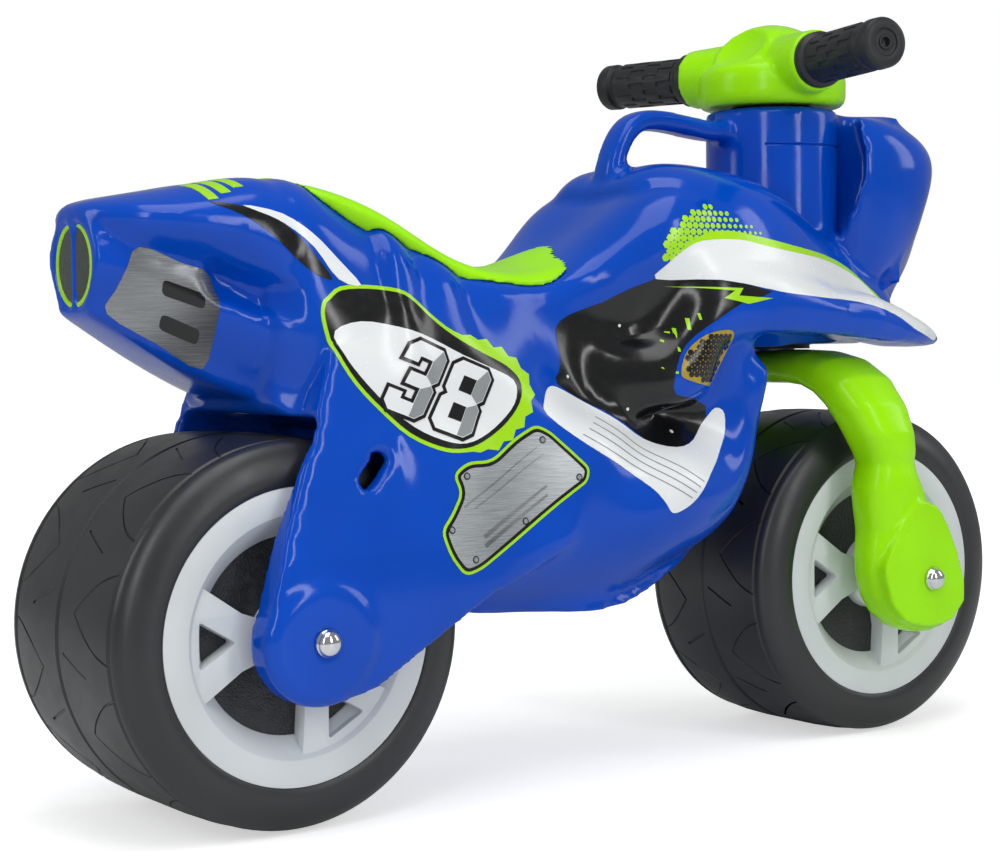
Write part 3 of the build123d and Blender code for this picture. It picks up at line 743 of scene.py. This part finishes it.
def inside(point, shape):
    """Whether an outline holds a point: a line out from the point crosses it an odd number of times."""
    hit = False
    for (a, b), (c, d) in zip(shape, shape[1:] + shape[:1]):
        if (b > point[1]) != (d > point[1]) and point[0] < (c - a) * (point[1] - b) / (d - b) + a:
            hit = not hit
    return hit


def staggered(shape, corner, pitch, rows, columns):
    """Places inside an outline on rows that are set half a pitch aside by turns."""
    places = []
    for row in range(rows):
        for column in range(columns):
            u = corner[0] + pitch[0] * column + (pitch[0] / 2 if row % 2 else 0)
            v = corner[1] + pitch[1] * row
            if inside((u, v), shape):
                places.append((u, v))
    return places


# Outlines on the body's side, in mm: along from the rear axle and up from the ground.
# The race number is a plain number, built from blocks on a cell 6 wide and 10 high.
EIGHT = [(1, 0), (5, 0), (6, 1), (6, 4.3), (5.3, 5), (6, 5.7), (6, 9), (5, 10), (1, 10), (0, 9), (0, 5.7),
         (0.7, 5), (0, 4.3), (0, 1)]
EIGHT_EYES = [[(2, 1.9), (4, 1.9), (4, 4.1), (2, 4.1)], [(2, 5.9), (4, 5.9), (4, 8.1), (2, 8.1)]]
THREE = [(1, 0), (5, 0), (6, 1), (6, 4.3), (5.3, 5), (6, 5.7), (6, 9), (5, 10), (1, 10), (0, 9), (0, 7.2),
         (2, 7.2), (2, 8.1), (4, 8.1), (4, 5.9), (1.7, 5.9), (1.7, 4.1), (4, 4.1), (4, 1.9), (2, 1.9),
         (2, 2.8), (0, 2.8), (0, 1)]

PLATE = [(22, 291), (30, 296), (48, 297), (66, 295), (77, 289), (91, 277), (105, 268), (122, 260),
         (137, 253), (145, 244), (143, 233), (134, 222), (122, 213), (106, 206), (93, 204), (80, 206),
         (62, 214), (46, 228), (32, 243), (22, 260), (17, 278), (18, 287)]
FIELD = [(24, 272), (40, 277), (62, 274), (84, 267), (104, 258), (124, 250), (138, 243), (137, 233),
         (128, 223), (114, 214), (98, 209), (84, 211), (66, 219), (50, 232), (36, 247), (27, 260)]
SIDE_PLATE = [(92, 182), (87, 192), (97, 199), (114, 199), (134, 212), (147, 218), (156, 214), (180, 192),
              (178, 184), (101, 139), (90, 136), (80, 148), (76, 162), (84, 170)]
FOOT_BAND = [(176, 238), (196, 230), (215, 220), (241, 205), (258, 200), (276, 204), (289, 216), (296, 223),
             (301, 219), (298, 205), (286, 193), (273, 184), (258, 171), (247, 165), (238, 163), (233, 169),
             (224, 179), (204, 192), (181, 205), (157, 223), (158, 231), (166, 238)]
KNEE = [(184, 272), (194, 280), (219, 288), (252, 302), (286, 301), (322, 294), (300, 288), (284, 279),
        (268, 268), (258, 256), (253.5, 242), (256, 232), (276, 229), (290, 224), (286, 211), (268, 201),
        (250, 201), (240, 207), (211, 224), (178, 240), (183, 247), (186, 256)]
SCOOP = [(257.5, 246), (262, 258), (274, 268), (290, 271), (296, 267), (298, 256), (292, 243), (284, 237),
         (262, 241)]
BARREL = [(-73, 317), (-80, 306), (-84, 294), (-86, 282), (-60, 266), (-35, 252), (-33, 276), (-33, 301),
          (-52, 309)]


# The shades along the right of a digit's strokes.
SHADES = [[(4, 0), (5, 0), (6, 1), (6, 4.3), (5.3, 5), (4, 4.1), (4, 1.9)],
          [(4, 5.9), (5.3, 5), (6, 5.7), (6, 9), (5, 10), (4, 8.1)]]
DIGIT_PITCH = 7.3
DIGIT_SIZE = 4.3
DIGIT_SLANT = 0.22
NUMBER_TILT = -21


def number_plate(side):
    """A number board: black with a lime edge, a white field and a plain block number in three inks."""
    def put(shape, start):
        """A digit's outline on the board. Seen from the left side, the number runs towards the rear."""
        place = (112, 213) if side > 0 else (46, 231)
        return turn([(-side * (u + start), v) for u, v in shape], place, NUMBER_TILT, -side * DIGIT_SLANT,
                    DIGIT_SIZE)

    outer = smooth(PLATE)
    edge = []
    for k, (near, far) in enumerate(zip(outer, grow(outer, 1))):
        tooth = 7.5 if k % 2 else 4.5
        edge.append(tuple(Vector(near) + (Vector(far) - Vector(near)) * (step(near[0], 96, 122) * tooth)))
    digits = [put(THREE, 0), put(EIGHT, DIGIT_PITCH)]
    eyes = [put(eye, DIGIT_PITCH) for eye in EIGHT_EYES]
    shades = [grow(put(shade_shape, start), -0.4) for shade_shape in SHADES for start in (0, DIGIT_PITCH)]
    sheet("number_board_edge", "ink_lime", [edge], side, 0)
    sheet("number_board", "ink_black", [grow(outer, -2.2)], side, 1)
    sheet("number_field", "ink_white", [smooth(FIELD)], side, 2)
    sheet("number_outline", "ink_black", [grow(digit, 2.0) for digit in digits], side, 4)
    sheet("number", "ink_white", digits, side, 5)
    sheet("number_eyes", "ink_black", eyes, side, 6, spacing=4.0)
    sheet("number_shade", "ink_grey", shades, side, 6, spacing=4.0)


RIVETS = [(96, 191), (150, 209), (172, 187), (97, 145), (83, 162), (133, 164)]


def side_plate(side):
    """A printed metal-look plate with a lime edge, rivets and two scored lines."""
    outer = rounded(SIDE_PLATE, 7)
    sheet("side_plate_edge", "ink_lime", [outer], side, 0)
    sheet("side_plate_border", "ink_black", [grow(outer, -1.7)], side, 1)
    sheet("side_plate", "ink_silver", [grow(outer, -3.6)], side, 2)
    marks("side_plate_rivets", "ink_black", [dot(u, v, 2.1) for u, v in RIVETS], side, 3)
    marks("side_plate_rivet_heads", "ink_grey", [dot(u, v, 1.4) for u, v in RIVETS], side, 4)
    lines = [bar((93, 174), (146, 205), 0.9, 0.2), bar((100, 173), (150, 201), 0.8, 0.2)]
    lines += [bar((104, 152 + 5 * k), (150, 178 + 5 * k), 2.4, 0.5) for k in range(2)]
    sheet("side_plate_lines", "ink_smoke", lines, side, 3)


def foot_band(side):
    """A white band from the side plate over the foot of the tank, with fine grey ribs."""
    sheet("foot_band", "ink_white", [smooth(FOOT_BAND)], side, 1)
    ribs = [bar((200 - 7 * k, 220 - 3 * k), (265 - 4 * k, 180 - 3 * k), 0.6) for k in range(4)]
    sheet("foot_band_lines", "ink_grey", ribs, side, 2)


SCREWS = [(190, 244), (229, 224), (265, 209), (232, 274)]


def knee_panel(side):
    """Black knee panel with lime dashes, printed screw heads and a patch of honeycomb."""
    sheet("knee_panel", "ink_black", [smooth(KNEE, 2)], side, 0, spacing=2.0)
    marks("knee_screws", "ink_white", [dot(u, v, 1.0) for u, v in SCREWS], side, 1)
    dashes = [bar((257, 270), (255, 245), 1.9), bar((253, 265), (247, 248), 1.5),
              bar((260, 272), (258, 258), 1.3), bar((266, 278), (265.5, 271), 1.6),
              bar((271, 281), (271.5, 277), 1.3)]
    marks("knee_dashes", "ink_lime", dashes, side, 1)
    sheet("scoop", "ink_gold", [smooth(SCOOP)], side, 2)
    cells = staggered(grow(SCOOP, -1.6), (253, 238), (3.7, 3.2), 11, 14)
    marks("scoop_holes", "ink_black", [dot(u, v, 2.0, 6) for u, v in cells], side, 3)


WING_BAND = [(252, 302), (258, 311), (267, 319), (280, 325), (308, 326), (332, 322), (357, 319), (400, 314),
             (432, 304), (452, 289), (468, 279), (480, 273), (489, 268), (492, 265), (488, 263), (474, 266),
             (456, 271), (434, 280), (400, 288), (362, 291), (330, 294), (288, 301)]
WING_STRIPE = [(266, 320), (281, 329), (300, 331.5), (324, 328.5), (357, 323.5), (396, 318.5), (424, 311),
               (444, 298), (456, 289), (440, 294), (400, 306), (330, 314), (280, 317)]
WING_SLASH = [(258, 297.5), (294, 294.5), (286, 290), (303, 286.5), (322, 290), (296, 291.5), (300, 296)]
TANK_PATCH = [(255, 311), (255, 323), (264, 336), (288, 349), (309, 340), (330, 330), (345, 327),
              (300, 327), (270, 317)]


def tank_livery(side):
    """White band along the wing's top under a lime stripe, with a patch of cells that shrink forwards."""
    sheet("wing_band", "ink_white", [smooth(WING_BAND)], side, 1)
    sheet("wing_stripe", "ink_lime", [smooth(WING_STRIPE)], side, 0)
    cells = [dot(u, v, max(0.8, 2.5 - 0.024 * (u - 262)), 6)
             for u, v in staggered(TANK_PATCH, (254, 311), (4.4, 3.9), 10, 24)]
    marks("tank_cells", "ink_lime", cells, side, 0)
    sheet("wing_slashes", "ink_lime", [WING_SLASH], side, 1)


BARREL_SLOTS = [[(-62, 300), (-40, 292), (-40, 284), (-62, 292)],
                [(-60, 282), (-40, 273), (-40, 265), (-60, 274)]]
SWEEP_BLACK = [(-40, 341), (-16, 337), (2, 328), (16, 314), (26, 300), (16, 303), (4, 313), (-10, 325),
               (-24, 334)]
SWEEP_WHITE = [(-22, 339), (0, 330), (17, 317), (30, 300), (44, 297), (30, 312), (16, 325), (0, 335)]


def tail_livery(side):
    """A brushed print with two slots on the barrel, and a black and a white sweep under the tail's lip."""
    sheet("barrel_print", "ink_smoke", [smooth(BARREL)], side, 0)
    sheet("barrel_slots", "ink_black", [rounded(slot, 3) for slot in BARREL_SLOTS], side, 1)
    sheet("tail_sweep_black", "ink_black", [smooth(SWEEP_BLACK)], side, 0)
    sheet("tail_sweep_white", "ink_white", [smooth(SWEEP_WHITE)], side, 1)


def tail_stripes():
    """Three slanted lime stripes on each side of the tail's top."""
    for side in HANDS:
        shapes = [[(-46 + 9 * k, side * 30), (-40 + 9 * k, side * 30), (-34 + 9 * k, side * (52 - 3 * k)),
                   (-40 + 9 * k, side * (52 - 3 * k))] for k in range(3)]
        sheet("tail_stripes", "ink_lime", shapes, side, 0, axis="Z")


def make_stickers():
    """Every sticker, on both sides."""
    for side in (-1, 1):
        knee_panel(side)
        foot_band(side)
        number_plate(side)
        side_plate(side)
        tank_livery(side)
        tail_livery(side)
    tail_stripes()


# ------------------------------------------------------------------ tail lamp
LAMP_HEIGHT = 308.5
LAMP_SETBACK = 3.4
RIB_HALF = 2.8
RING_OUTLINE = [(0, 0.0205), (-0.0006, 0.0208), (-0.0006, 0.0232), (0, 0.0236), (0.0008, 0.0236),
                (0.0008, 0.0205)]
LENS_OUTLINE = [(0.0008, 0), (-0.0004, 0), (-0.0004, 0.014), (0, 0.0205), (0.0008, 0.0205)]


def make_tail_lamp():
    """A printed lamp round the end of the barrel, parted by the moulded rib."""
    centre = Vector((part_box("main_body")[0].x + LAMP_SETBACK * MM, 0, LAMP_HEIGHT * MM))
    ring = turned(RING_OUTLINE, centre, (1, 0, 0), 72)
    halves = []
    for side in HANDS:
        lens = turned(LENS_OUTLINE, centre, (1, 0, 0), 72)
        edit(lens, lambda: bpy.ops.mesh.bisect(plane_co=(0, side * RIB_HALF * MM, 0), plane_no=(0, side, 0),
                                               clear_inner=True, use_fill=True))
        halves.append(lens)
    done(join(halves), "tail_lamp_print", "frame", finish("lens"))
    done(ring, "tail_lamp_ring", "frame", finish("ink_lime"))


# ------------------------------------------------------------------ wheels
RIM_INSET = 1.6  # mm from a tyre's side in to the face of its rim


def tyre_outline(half):
    """Half of a tyre's outline from the middle of the tread round to its bore, as (across, radius)."""
    r = TYRE_RADIUS
    rim = half - RIM_INSET * MM
    return [(0, r - 1.4 * MM), (0.0011, r - 1.4 * MM), (0.0024, r - 0.1 * MM), (0.35 * half, r - 0.1 * MM),
            (0.6 * half, r - 0.7 * MM), (0.78 * half, r - 2.0 * MM), (0.80 * half, r - 3.4 * MM),
            (0.815 * half, r - 3.4 * MM), (0.835 * half, r - 2.2 * MM), (0.87 * half, r - 2.6 * MM),
            (0.91 * half, r - 4.6 * MM), (0.95 * half, r - 8.4 * MM), (0.98 * half, r - 13.6 * MM),
            (0.996 * half, r - 19 * MM), (half - 0.3 * MM, r - 22.6 * MM), (half - 0.9 * MM, r - 25.4 * MM),
            (rim + 0.1 * MM, r - 26.6 * MM), (rim - 3 * MM, r - 26.6 * MM), (rim - 3 * MM, r - 40.1 * MM),
            (rim - 13.5 * MM, r - 52.1 * MM), (rim - 13.5 * MM, 0.0083)]


# A leaf's foot and reach as shares of a tyre's half width, its half width as a share of the pitch between
# leaves, and how bluntly it ends.
LEAF_FOOT = 0.79
LEAF_REACH = 0.52
LEAF_HALF = 0.36
LEAF_BLUNTNESS = 0.66


def leaf_lines(centre, half):
    """Tubes that cut the leaf shapes and their veins into each half of the tread."""
    rest()
    bpy.ops.curve.primitive_nurbs_path_add()
    piece = bpy.context.object
    piece.data.splines.clear()
    leaves = sizes().leaves
    pitch = 2 * math.pi / leaves
    for side in (-1, 1):
        for k in range(leaves):
            start = (k + (0.25 if side > 0 else 0.75)) * pitch
            leaf = []
            for i in range(-12, 13):
                t = i / 12
                depth = LEAF_REACH * half * (1 - abs(t)) ** LEAF_BLUNTNESS
                leaf.append((side * (LEAF_FOOT * half - depth + 0.001), start + LEAF_HALF * pitch * t))
            vein = [(side * (0.10 * half + 0.36 * half * s / 6), start + pitch * (0.5 - 0.16 * (1 - s / 6)))
                    for s in range(7)]
            for points in (leaf, vein):
                spline = piece.data.splines.new("POLY")
                spline.points.add(len(points) - 1)
                for point, (y, angle) in zip(spline.points, points):
                    share = abs(y) / half
                    r = TYRE_RADIUS - (0.1 + 1.9 * max(0, share - 0.35) / 0.45) * MM
                    point.co = (centre.x + r * math.cos(angle), y, centre.z + r * math.sin(angle), 1)
    piece.data.bevel_depth = sizes().tread_line / 2
    piece.data.bevel_resolution = 1
    piece.data.use_fill_caps = True
    pick(piece)
    bpy.ops.object.convert(target="MESH")
    edit(piece, outwards)
    return piece


def make_tyre(name, centre, half):
    """A tyre turned from its outline, with the leaves cut into its tread."""
    profile = tyre_outline(half)
    outline = profile + [(-y, r) for y, r in reversed(profile[1:])]
    piece = turned(outline, Vector((centre.x, 0, centre.z)), (0, 1, 0), 128)
    cut(piece, [leaf_lines(centre, half)])
    done(piece, f"{name}_tyre_tread", f"{name}_wheel", finish("tyre"), 32,
         (f"{name}_tyre",))


# A rim insert's turned parts as (outwards from its face, radius) in metres, then a spoke's outlines in mm.
RIM_WALL = [(-0.0030, 0.0812), (0, 0.0812), (0, 0.0664), (-0.0120, 0.0544), (-0.0133, 0.0544),
            (-0.0133, 0.0566), (-0.0030, 0.0679)]
RIM_HUB = [(-0.0131, 0.0088), (-0.0131, 0.024), (-0.0040, 0.024), (-0.0030, 0.0225), (-0.0006, 0.018),
           (-0.0006, 0.0088)]
RIM_DISC = [(-0.0140, 0.0235), (-0.0128, 0.0235), (-0.0128, 0.0546), (-0.0140, 0.0546)]
SPOKE_ARMS = [(16, -9), (34, -15.5), (60, -33), (66, -27), (69, -16), (70, 0), (69, 16), (66, 27), (60, 33),
              (34, 15.5), (16, 9)]
SPOKE_WINDOW = [(37, 0), (59, -13), (59, 13)]


def make_rim(name, centre, half, side):
    """A rim insert: flat ring, sloping wall and three forked spokes, each with its small window."""
    wheel = f"{name}_wheel"
    hub = Vector((centre.x, side * (half - RIM_INSET * MM), centre.z))
    pieces = [turned(RIM_WALL, hub, (0, side, 0))]
    for group in range(3):
        angle = math.radians(180 + 120 * group)
        c, s = math.cos(angle), math.sin(angle)

        def place(u, v, d):
            u, v = u * MM, v * MM
            return hub + Vector((u * c - v * s, side * (-0.0131 + d * MM), u * s + v * c))

        fork = plate(SPOKE_ARMS, 10.6, place)
        cut(fork, [plate(rounded(SPOKE_WINDOW, 2.5, 3), 16, lambda u, v, d: place(u, v, d - 2))])
        pieces.append(fork)
    pieces.append(turned(RIM_HUB, hub, (0, side, 0), 64))
    piece = join(pieces)
    modify(piece, "BEVEL", width=0.0007, segments=2, limit_method="ANGLE", angle_limit=math.radians(38))
    done(piece, f"{name}_rim_insert_{HANDS[side]}", wheel, finish("rim"), 35,
         (f"{name}_rim_{HANDS[side]}",))
    disc = turned(RIM_DISC, hub, (0, side, 0))
    done(disc, f"{name}_hub_texture_{HANDS[side]}", wheel, finish("disc"))


def make_wheels():
    """Both tyres, each with a rim insert on either side."""
    for name, centre, half in (("rear", REAR, REAR_HALF), ("front", FRONT, FRONT_HALF)):
        make_tyre(name, centre, half)
        for side in (-1, 1):
            make_rim(name, centre, half, side)


# ------------------------------------------------------------------ grips
# A grip's outline as (along, radius) in mm: the collar, the long middle, the stepped end with its hole.
GRIP_OUTLINE = [(0.2, 11.2), (0, 17.2), (0.6, 18), (6.4, 18), (7.2, 17.2), (8.6, 15.4), (12, 14.9),
                (15, 14.8), (24, 14.8), (27, 14.8), (36, 14.8), (39, 14.8), (48, 14.8), (51, 14.8),
                (60, 14.8), (64, 14.8), (65, 14.2), (67.4, 14.0), (68.4, 15.4), (69, 15.9), (76.4, 15.7),
                (78.2, 14.6), (79, 12.8), (79, 8.6), (77.6, 8.2), (77.6, 4.6), (79, 4.2), (79, 3.1),
                (75.2, 3.0), (75.2, 0.05), (74.4, 0.05), (74.4, 11.2)]
GRIP_STEPS = 60
BLOCK_HEIGHT = 0.0009
BLOCK_ROWS = {1: 0, 5: 1, 9: 0, 13: 1}  # the bands of raised blocks, and how far each is turned


def make_grips():
    """Turned grips with a collar, raised blocks in staggered rows and a stepped end with its hole."""
    for side, hand in HANDS.items():
        axis = grip_axis(side)
        start = grip_start(side)
        piece = turned([(a * MM, r * MM) for a, r in GRIP_OUTLINE], start, axis, GRIP_STEPS)
        out = axis.orthogonal().normalized()
        other = axis.cross(out)

        def block(face):
            """Whether a face of the grip's middle belongs to a raised block."""
            offset = face.center - start
            along = offset.dot(axis) / MM
            radius = (offset - axis * along * MM).length / MM
            angle = math.degrees(math.atan2(offset.dot(other), offset.dot(out))) % 360
            if radius < 14.4 or not 12 < along < 64:
                return False
            row = int((along - 12) / 3)
            column = int(angle / 6)
            near = min(BLOCK_ROWS, key=lambda k: abs(k - row))
            return abs(near - row) <= 1 and (column + 3 * BLOCK_ROWS[near]) % 6 not in (0, 5)

        raised = {"value": BLOCK_HEIGHT}
        edit(piece, lambda: bpy.ops.mesh.extrude_region_shrink_fatten(TRANSFORM_OT_shrink_fatten=raised),
             faces=block)
        modify(piece, "BEVEL", width=0.0003, segments=2, limit_method="ANGLE", angle_limit=math.radians(32))
        done(piece, f"moulded_grip_{hand}", "steering", finish("grip"), 30,
             (f"grip_{hand}",))


# ------------------------------------------------------------------ axles and fasteners
def make_hardware():
    """Chromed axle caps, and the finishes of the steel and nylon pieces that show at their edges."""
    for name, body, centre in (("rear", "frame", REAR), ("front", "steering", FRONT)):
        for side, hand in HANDS.items():
            low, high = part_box(f"{name}_cap_{hand}")
            outer = high.y if side > 0 else low.y
            depth = high.y - low.y
            face = Vector((centre.x, outer - side * depth, centre.z))
            r = (high.z - low.z) / 2
            dome = [(0, 0), (0, r), (0.0010, r), (0.0016, 0.95 * r), (0.0021, 0.9 * r)]
            for k in range(1, 9):
                turn_to = math.radians(90 * k / 8)
                dome.append((0.0021 + (depth - 0.0022) * math.sin(turn_to), 0.88 * r * math.cos(turn_to)))
            piece = turned(dome, face, (0, side, 0), 64)
            done(piece, f"{name}_axle_cap_{hand}", body, finish("chrome"), 50,
                 (f"{name}_cap_{hand}",))
    for node in NODES.values():
        if not node.data.materials or not node.hide_render:
            kind = node.name
            if any(part in kind for part in ("axle", "post", "bolt", "washer")):
                material = finish("steel")
            elif any(part in kind for part in ("bush", "spacer")):
                material = finish("nylon")
            else:
                continue
            node.data.materials.clear()
            node.data.materials.append(material)


# ------------------------------------------------------------------ stage
WHITE = (1, 1, 1, 1)
AIM = Vector((0, 0, 0.22))
# Each area lamp's place, width and height in metres, and its power in watts.
LAMPS = {
    "overhead_softbox": ((-0.3, -0.5, 2.2), (1.2, 2.0), 21),
    "left_strip": ((-1.4, -1.1, 0.95), (0.28, 1.3), 7),
    "right_strip": ((0.3, -1.8, 0.95), (0.26, 1.3), 7.5),
    "front_fill": ((1.9, -1.2, 1.1), (0.5, 1.2), 6.5),
    "rear_fill": ((-2.0, 0.9, 1.1), (0.5, 1.2), 6.5),
}
CAMERA_PLACE = (-546.0, -1033.9, 268.0)
CAMERA_TURN = (54.778, -2.549, -0.552)  # yaw from straight ahead, pitch and roll in degrees
CAMERA_LENS = 74.23


def make_floor():
    """A broad floor of matt white paper that glows a little, so that it fades into the white behind it."""
    rest()
    bpy.ops.mesh.primitive_grid_add(x_subdivisions=12, y_subdivisions=12, size=14, location=(0, 0, 0))
    floor = bpy.context.object
    floor.name = "studio_floor"
    edit(floor, lambda: bpy.ops.mesh.subdivide(number_cuts=1))
    material, tree, shader, place = blank("matt_white_paper_sweep")
    grain = add_node(tree, "ShaderNodeTexNoise", {"Vector": place, "Scale": 40.0, "Detail": 3.0})
    vary(tree, shader.inputs["Base Color"], grain.outputs["Fac"], linear("#F3F4F5"), linear("#F8F8F8"))
    shader.inputs["Roughness"].default_value = 0.5
    shader.inputs["Specular IOR Level"].default_value = 0.25
    path = add_node(tree, "ShaderNodeLightPath")
    away = add_node(tree, "ShaderNodeVectorMath", {0: place}, operation="LENGTH").outputs["Value"]
    faded = add_node(tree, "ShaderNodeMapRange", {"Value": away, "From Min": 0.5, "From Max": 1.5,
                                                  "To Min": 0.55, "To Max": 1.0}).outputs["Result"]
    glow = add_node(tree, "ShaderNodeMath", {0: path.outputs["Is Camera Ray"], 1: faded},
                    operation="MULTIPLY")
    shader.inputs["Emission Color"].default_value = WHITE
    tree.links.new(glow.outputs["Value"], shader.inputs["Emission Strength"])
    floor.data.materials.append(material)


def make_world():
    """White where the camera sees it, dim in reflections and as the fill light."""
    world = bpy.data.worlds.new("studio_world")
    bpy.context.scene.world = world
    world.use_nodes = True
    tree = world.node_tree
    seen = add_node(tree, "ShaderNodeLightPath").outputs
    glossy = add_node(tree, "ShaderNodeMath", {0: seen["Is Glossy Ray"], 1: 0.07}, operation="MULTIPLY")
    either = add_node(tree, "ShaderNodeMath", {0: seen["Is Camera Ray"], 1: glossy.outputs["Value"]},
                      operation="MAXIMUM")
    white = add_node(tree, "ShaderNodeBackground", {"Color": WHITE, "Strength": 1.0})
    fill = add_node(tree, "ShaderNodeBackground", {"Color": WHITE, "Strength": 0.26})
    both = add_node(tree, "ShaderNodeMixShader", {0: either.outputs["Value"], 1: fill.outputs["Background"],
                                                  2: white.outputs["Background"]})
    tree.links.new(both.outputs["Shader"], tree.nodes["World Output"].inputs["Surface"])


def make_camera():
    """A long lens on the toy's right side, looking forwards along it."""
    yaw, pitch, roll = (math.radians(a) for a in CAMERA_TURN)
    ahead = Vector((math.cos(pitch) * math.cos(yaw), math.cos(pitch) * math.sin(yaw), math.sin(pitch)))
    across = ahead.cross(Vector((0, 0, 1))).normalized()
    above = across.cross(ahead)
    right = across * math.cos(roll) + above * math.sin(roll)
    up = above * math.cos(roll) - across * math.sin(roll)
    facing = Matrix((right, up, -ahead)).transposed()
    bpy.ops.object.camera_add(location=at(*CAMERA_PLACE), rotation=facing.to_euler())
    camera = bpy.context.object
    camera.name = "studio_camera"
    camera.data.lens = CAMERA_LENS
    camera.data.sensor_width = 36
    camera.data.clip_end = 50
    bpy.context.scene.camera = camera
    bpy.context.scene.view_settings.view_transform = "Standard"


def make_stage():
    """A pale floor, a soft studio and the camera."""
    make_floor()
    make_world()
    for name, (place, size, power) in LAMPS.items():
        bpy.ops.object.light_add(type="AREA", location=place)
        light = bpy.context.object
        light.name = name
        light.data.shape = "RECTANGLE"
        light.data.size, light.data.size_y = size
        light.data.energy = power
        light.rotation_euler = (AIM - Vector(place)).to_track_quat("-Z", "Y").to_euler()
    make_camera()


# ------------------------------------------------------------------ operators
class MOTORBIKE_OT_body(bpy.types.Operator):
    """Builds the blow-moulded body's skin"""
    bl_idname = "motorbike.body"
    bl_label = "Body"

    def execute(self, context):
        make_body()
        return {"FINISHED"}


class MOTORBIKE_OT_seat(bpy.types.Operator):
    """Builds the seat pad's skin"""
    bl_idname = "motorbike.seat"
    bl_label = "Seat Pad"

    def execute(self, context):
        make_seat()
        return {"FINISHED"}


class MOTORBIKE_OT_stickers(bpy.types.Operator):
    """Lays the printed stickers on both sides of the body"""
    bl_idname = "motorbike.stickers"
    bl_label = "Stickers"

    def execute(self, context):
        make_stickers()
        return {"FINISHED"}


class MOTORBIKE_OT_tail_lamp(bpy.types.Operator):
    """Builds the printed tail lamp"""
    bl_idname = "motorbike.tail_lamp"
    bl_label = "Tail Lamp"

    def execute(self, context):
        make_tail_lamp()
        return {"FINISHED"}


class MOTORBIKE_OT_wheels(bpy.types.Operator):
    """Builds both tyres and their rim inserts"""
    bl_idname = "motorbike.wheels"
    bl_label = "Wheels"

    def execute(self, context):
        make_wheels()
        return {"FINISHED"}


class MOTORBIKE_OT_fork(bpy.types.Operator):
    """Builds the fork's skin"""
    bl_idname = "motorbike.fork"
    bl_label = "Fork"

    def execute(self, context):
        make_fork()
        return {"FINISHED"}


class MOTORBIKE_OT_handlebar(bpy.types.Operator):
    """Builds the handlebar's skin"""
    bl_idname = "motorbike.handlebar"
    bl_label = "Handlebar"

    def execute(self, context):
        make_handlebar()
        return {"FINISHED"}


class MOTORBIKE_OT_grips(bpy.types.Operator):
    """Builds both grips"""
    bl_idname = "motorbike.grips"
    bl_label = "Grips"

    def execute(self, context):
        make_grips()
        return {"FINISHED"}


class MOTORBIKE_OT_hardware(bpy.types.Operator):
    """Builds the axle caps and finishes the steel and nylon pieces"""
    bl_idname = "motorbike.hardware"
    bl_label = "Hardware"

    def execute(self, context):
        make_hardware()
        return {"FINISHED"}


class MOTORBIKE_OT_stage(bpy.types.Operator):
    """Sets the floor, the lights and the camera"""
    bl_idname = "motorbike.stage"
    bl_label = "Stage"

    def execute(self, context):
        make_stage()
        return {"FINISHED"}


OPERATORS = (MOTORBIKE_OT_body, MOTORBIKE_OT_seat, MOTORBIKE_OT_stickers, MOTORBIKE_OT_tail_lamp,
             MOTORBIKE_OT_wheels, MOTORBIKE_OT_fork, MOTORBIKE_OT_handlebar, MOTORBIKE_OT_grips,
             MOTORBIKE_OT_hardware, MOTORBIKE_OT_stage)


class MOTORBIKE_PT_panel(bpy.types.Panel):
    """Lists the steps and the settings"""
    bl_label = "Ride-on Motorbike"
    bl_space_type = "VIEW_3D"
    bl_region_type = "UI"
    bl_category = "Motorbike"

    def draw(self, context):
        for group in (context.scene.motorbike_colours, context.scene.motorbike_sizes):
            box = self.layout.box()
            for key in group.__annotations__:
                box.prop(group, key)
        for operator in OPERATORS:
            self.layout.operator(operator.bl_idname)


CLASSES = (MotorbikeColours, MotorbikeSizes, *OPERATORS, MOTORBIKE_PT_panel)


def register():
    for made in CLASSES:
        bpy.utils.register_class(made)
    bpy.types.Scene.motorbike_colours = PointerProperty(type=MotorbikeColours)
    bpy.types.Scene.motorbike_sizes = PointerProperty(type=MotorbikeSizes)


def unregister():
    del bpy.types.Scene.motorbike_colours
    del bpy.types.Scene.motorbike_sizes
    for made in reversed(CLASSES):
        bpy.utils.unregister_class(made)


def main():
    register()
    for operator in OPERATORS:
        family, name = operator.bl_idname.split(".")
        getattr(getattr(bpy.ops, family), name)()


if __name__ == "__main__":
    main()
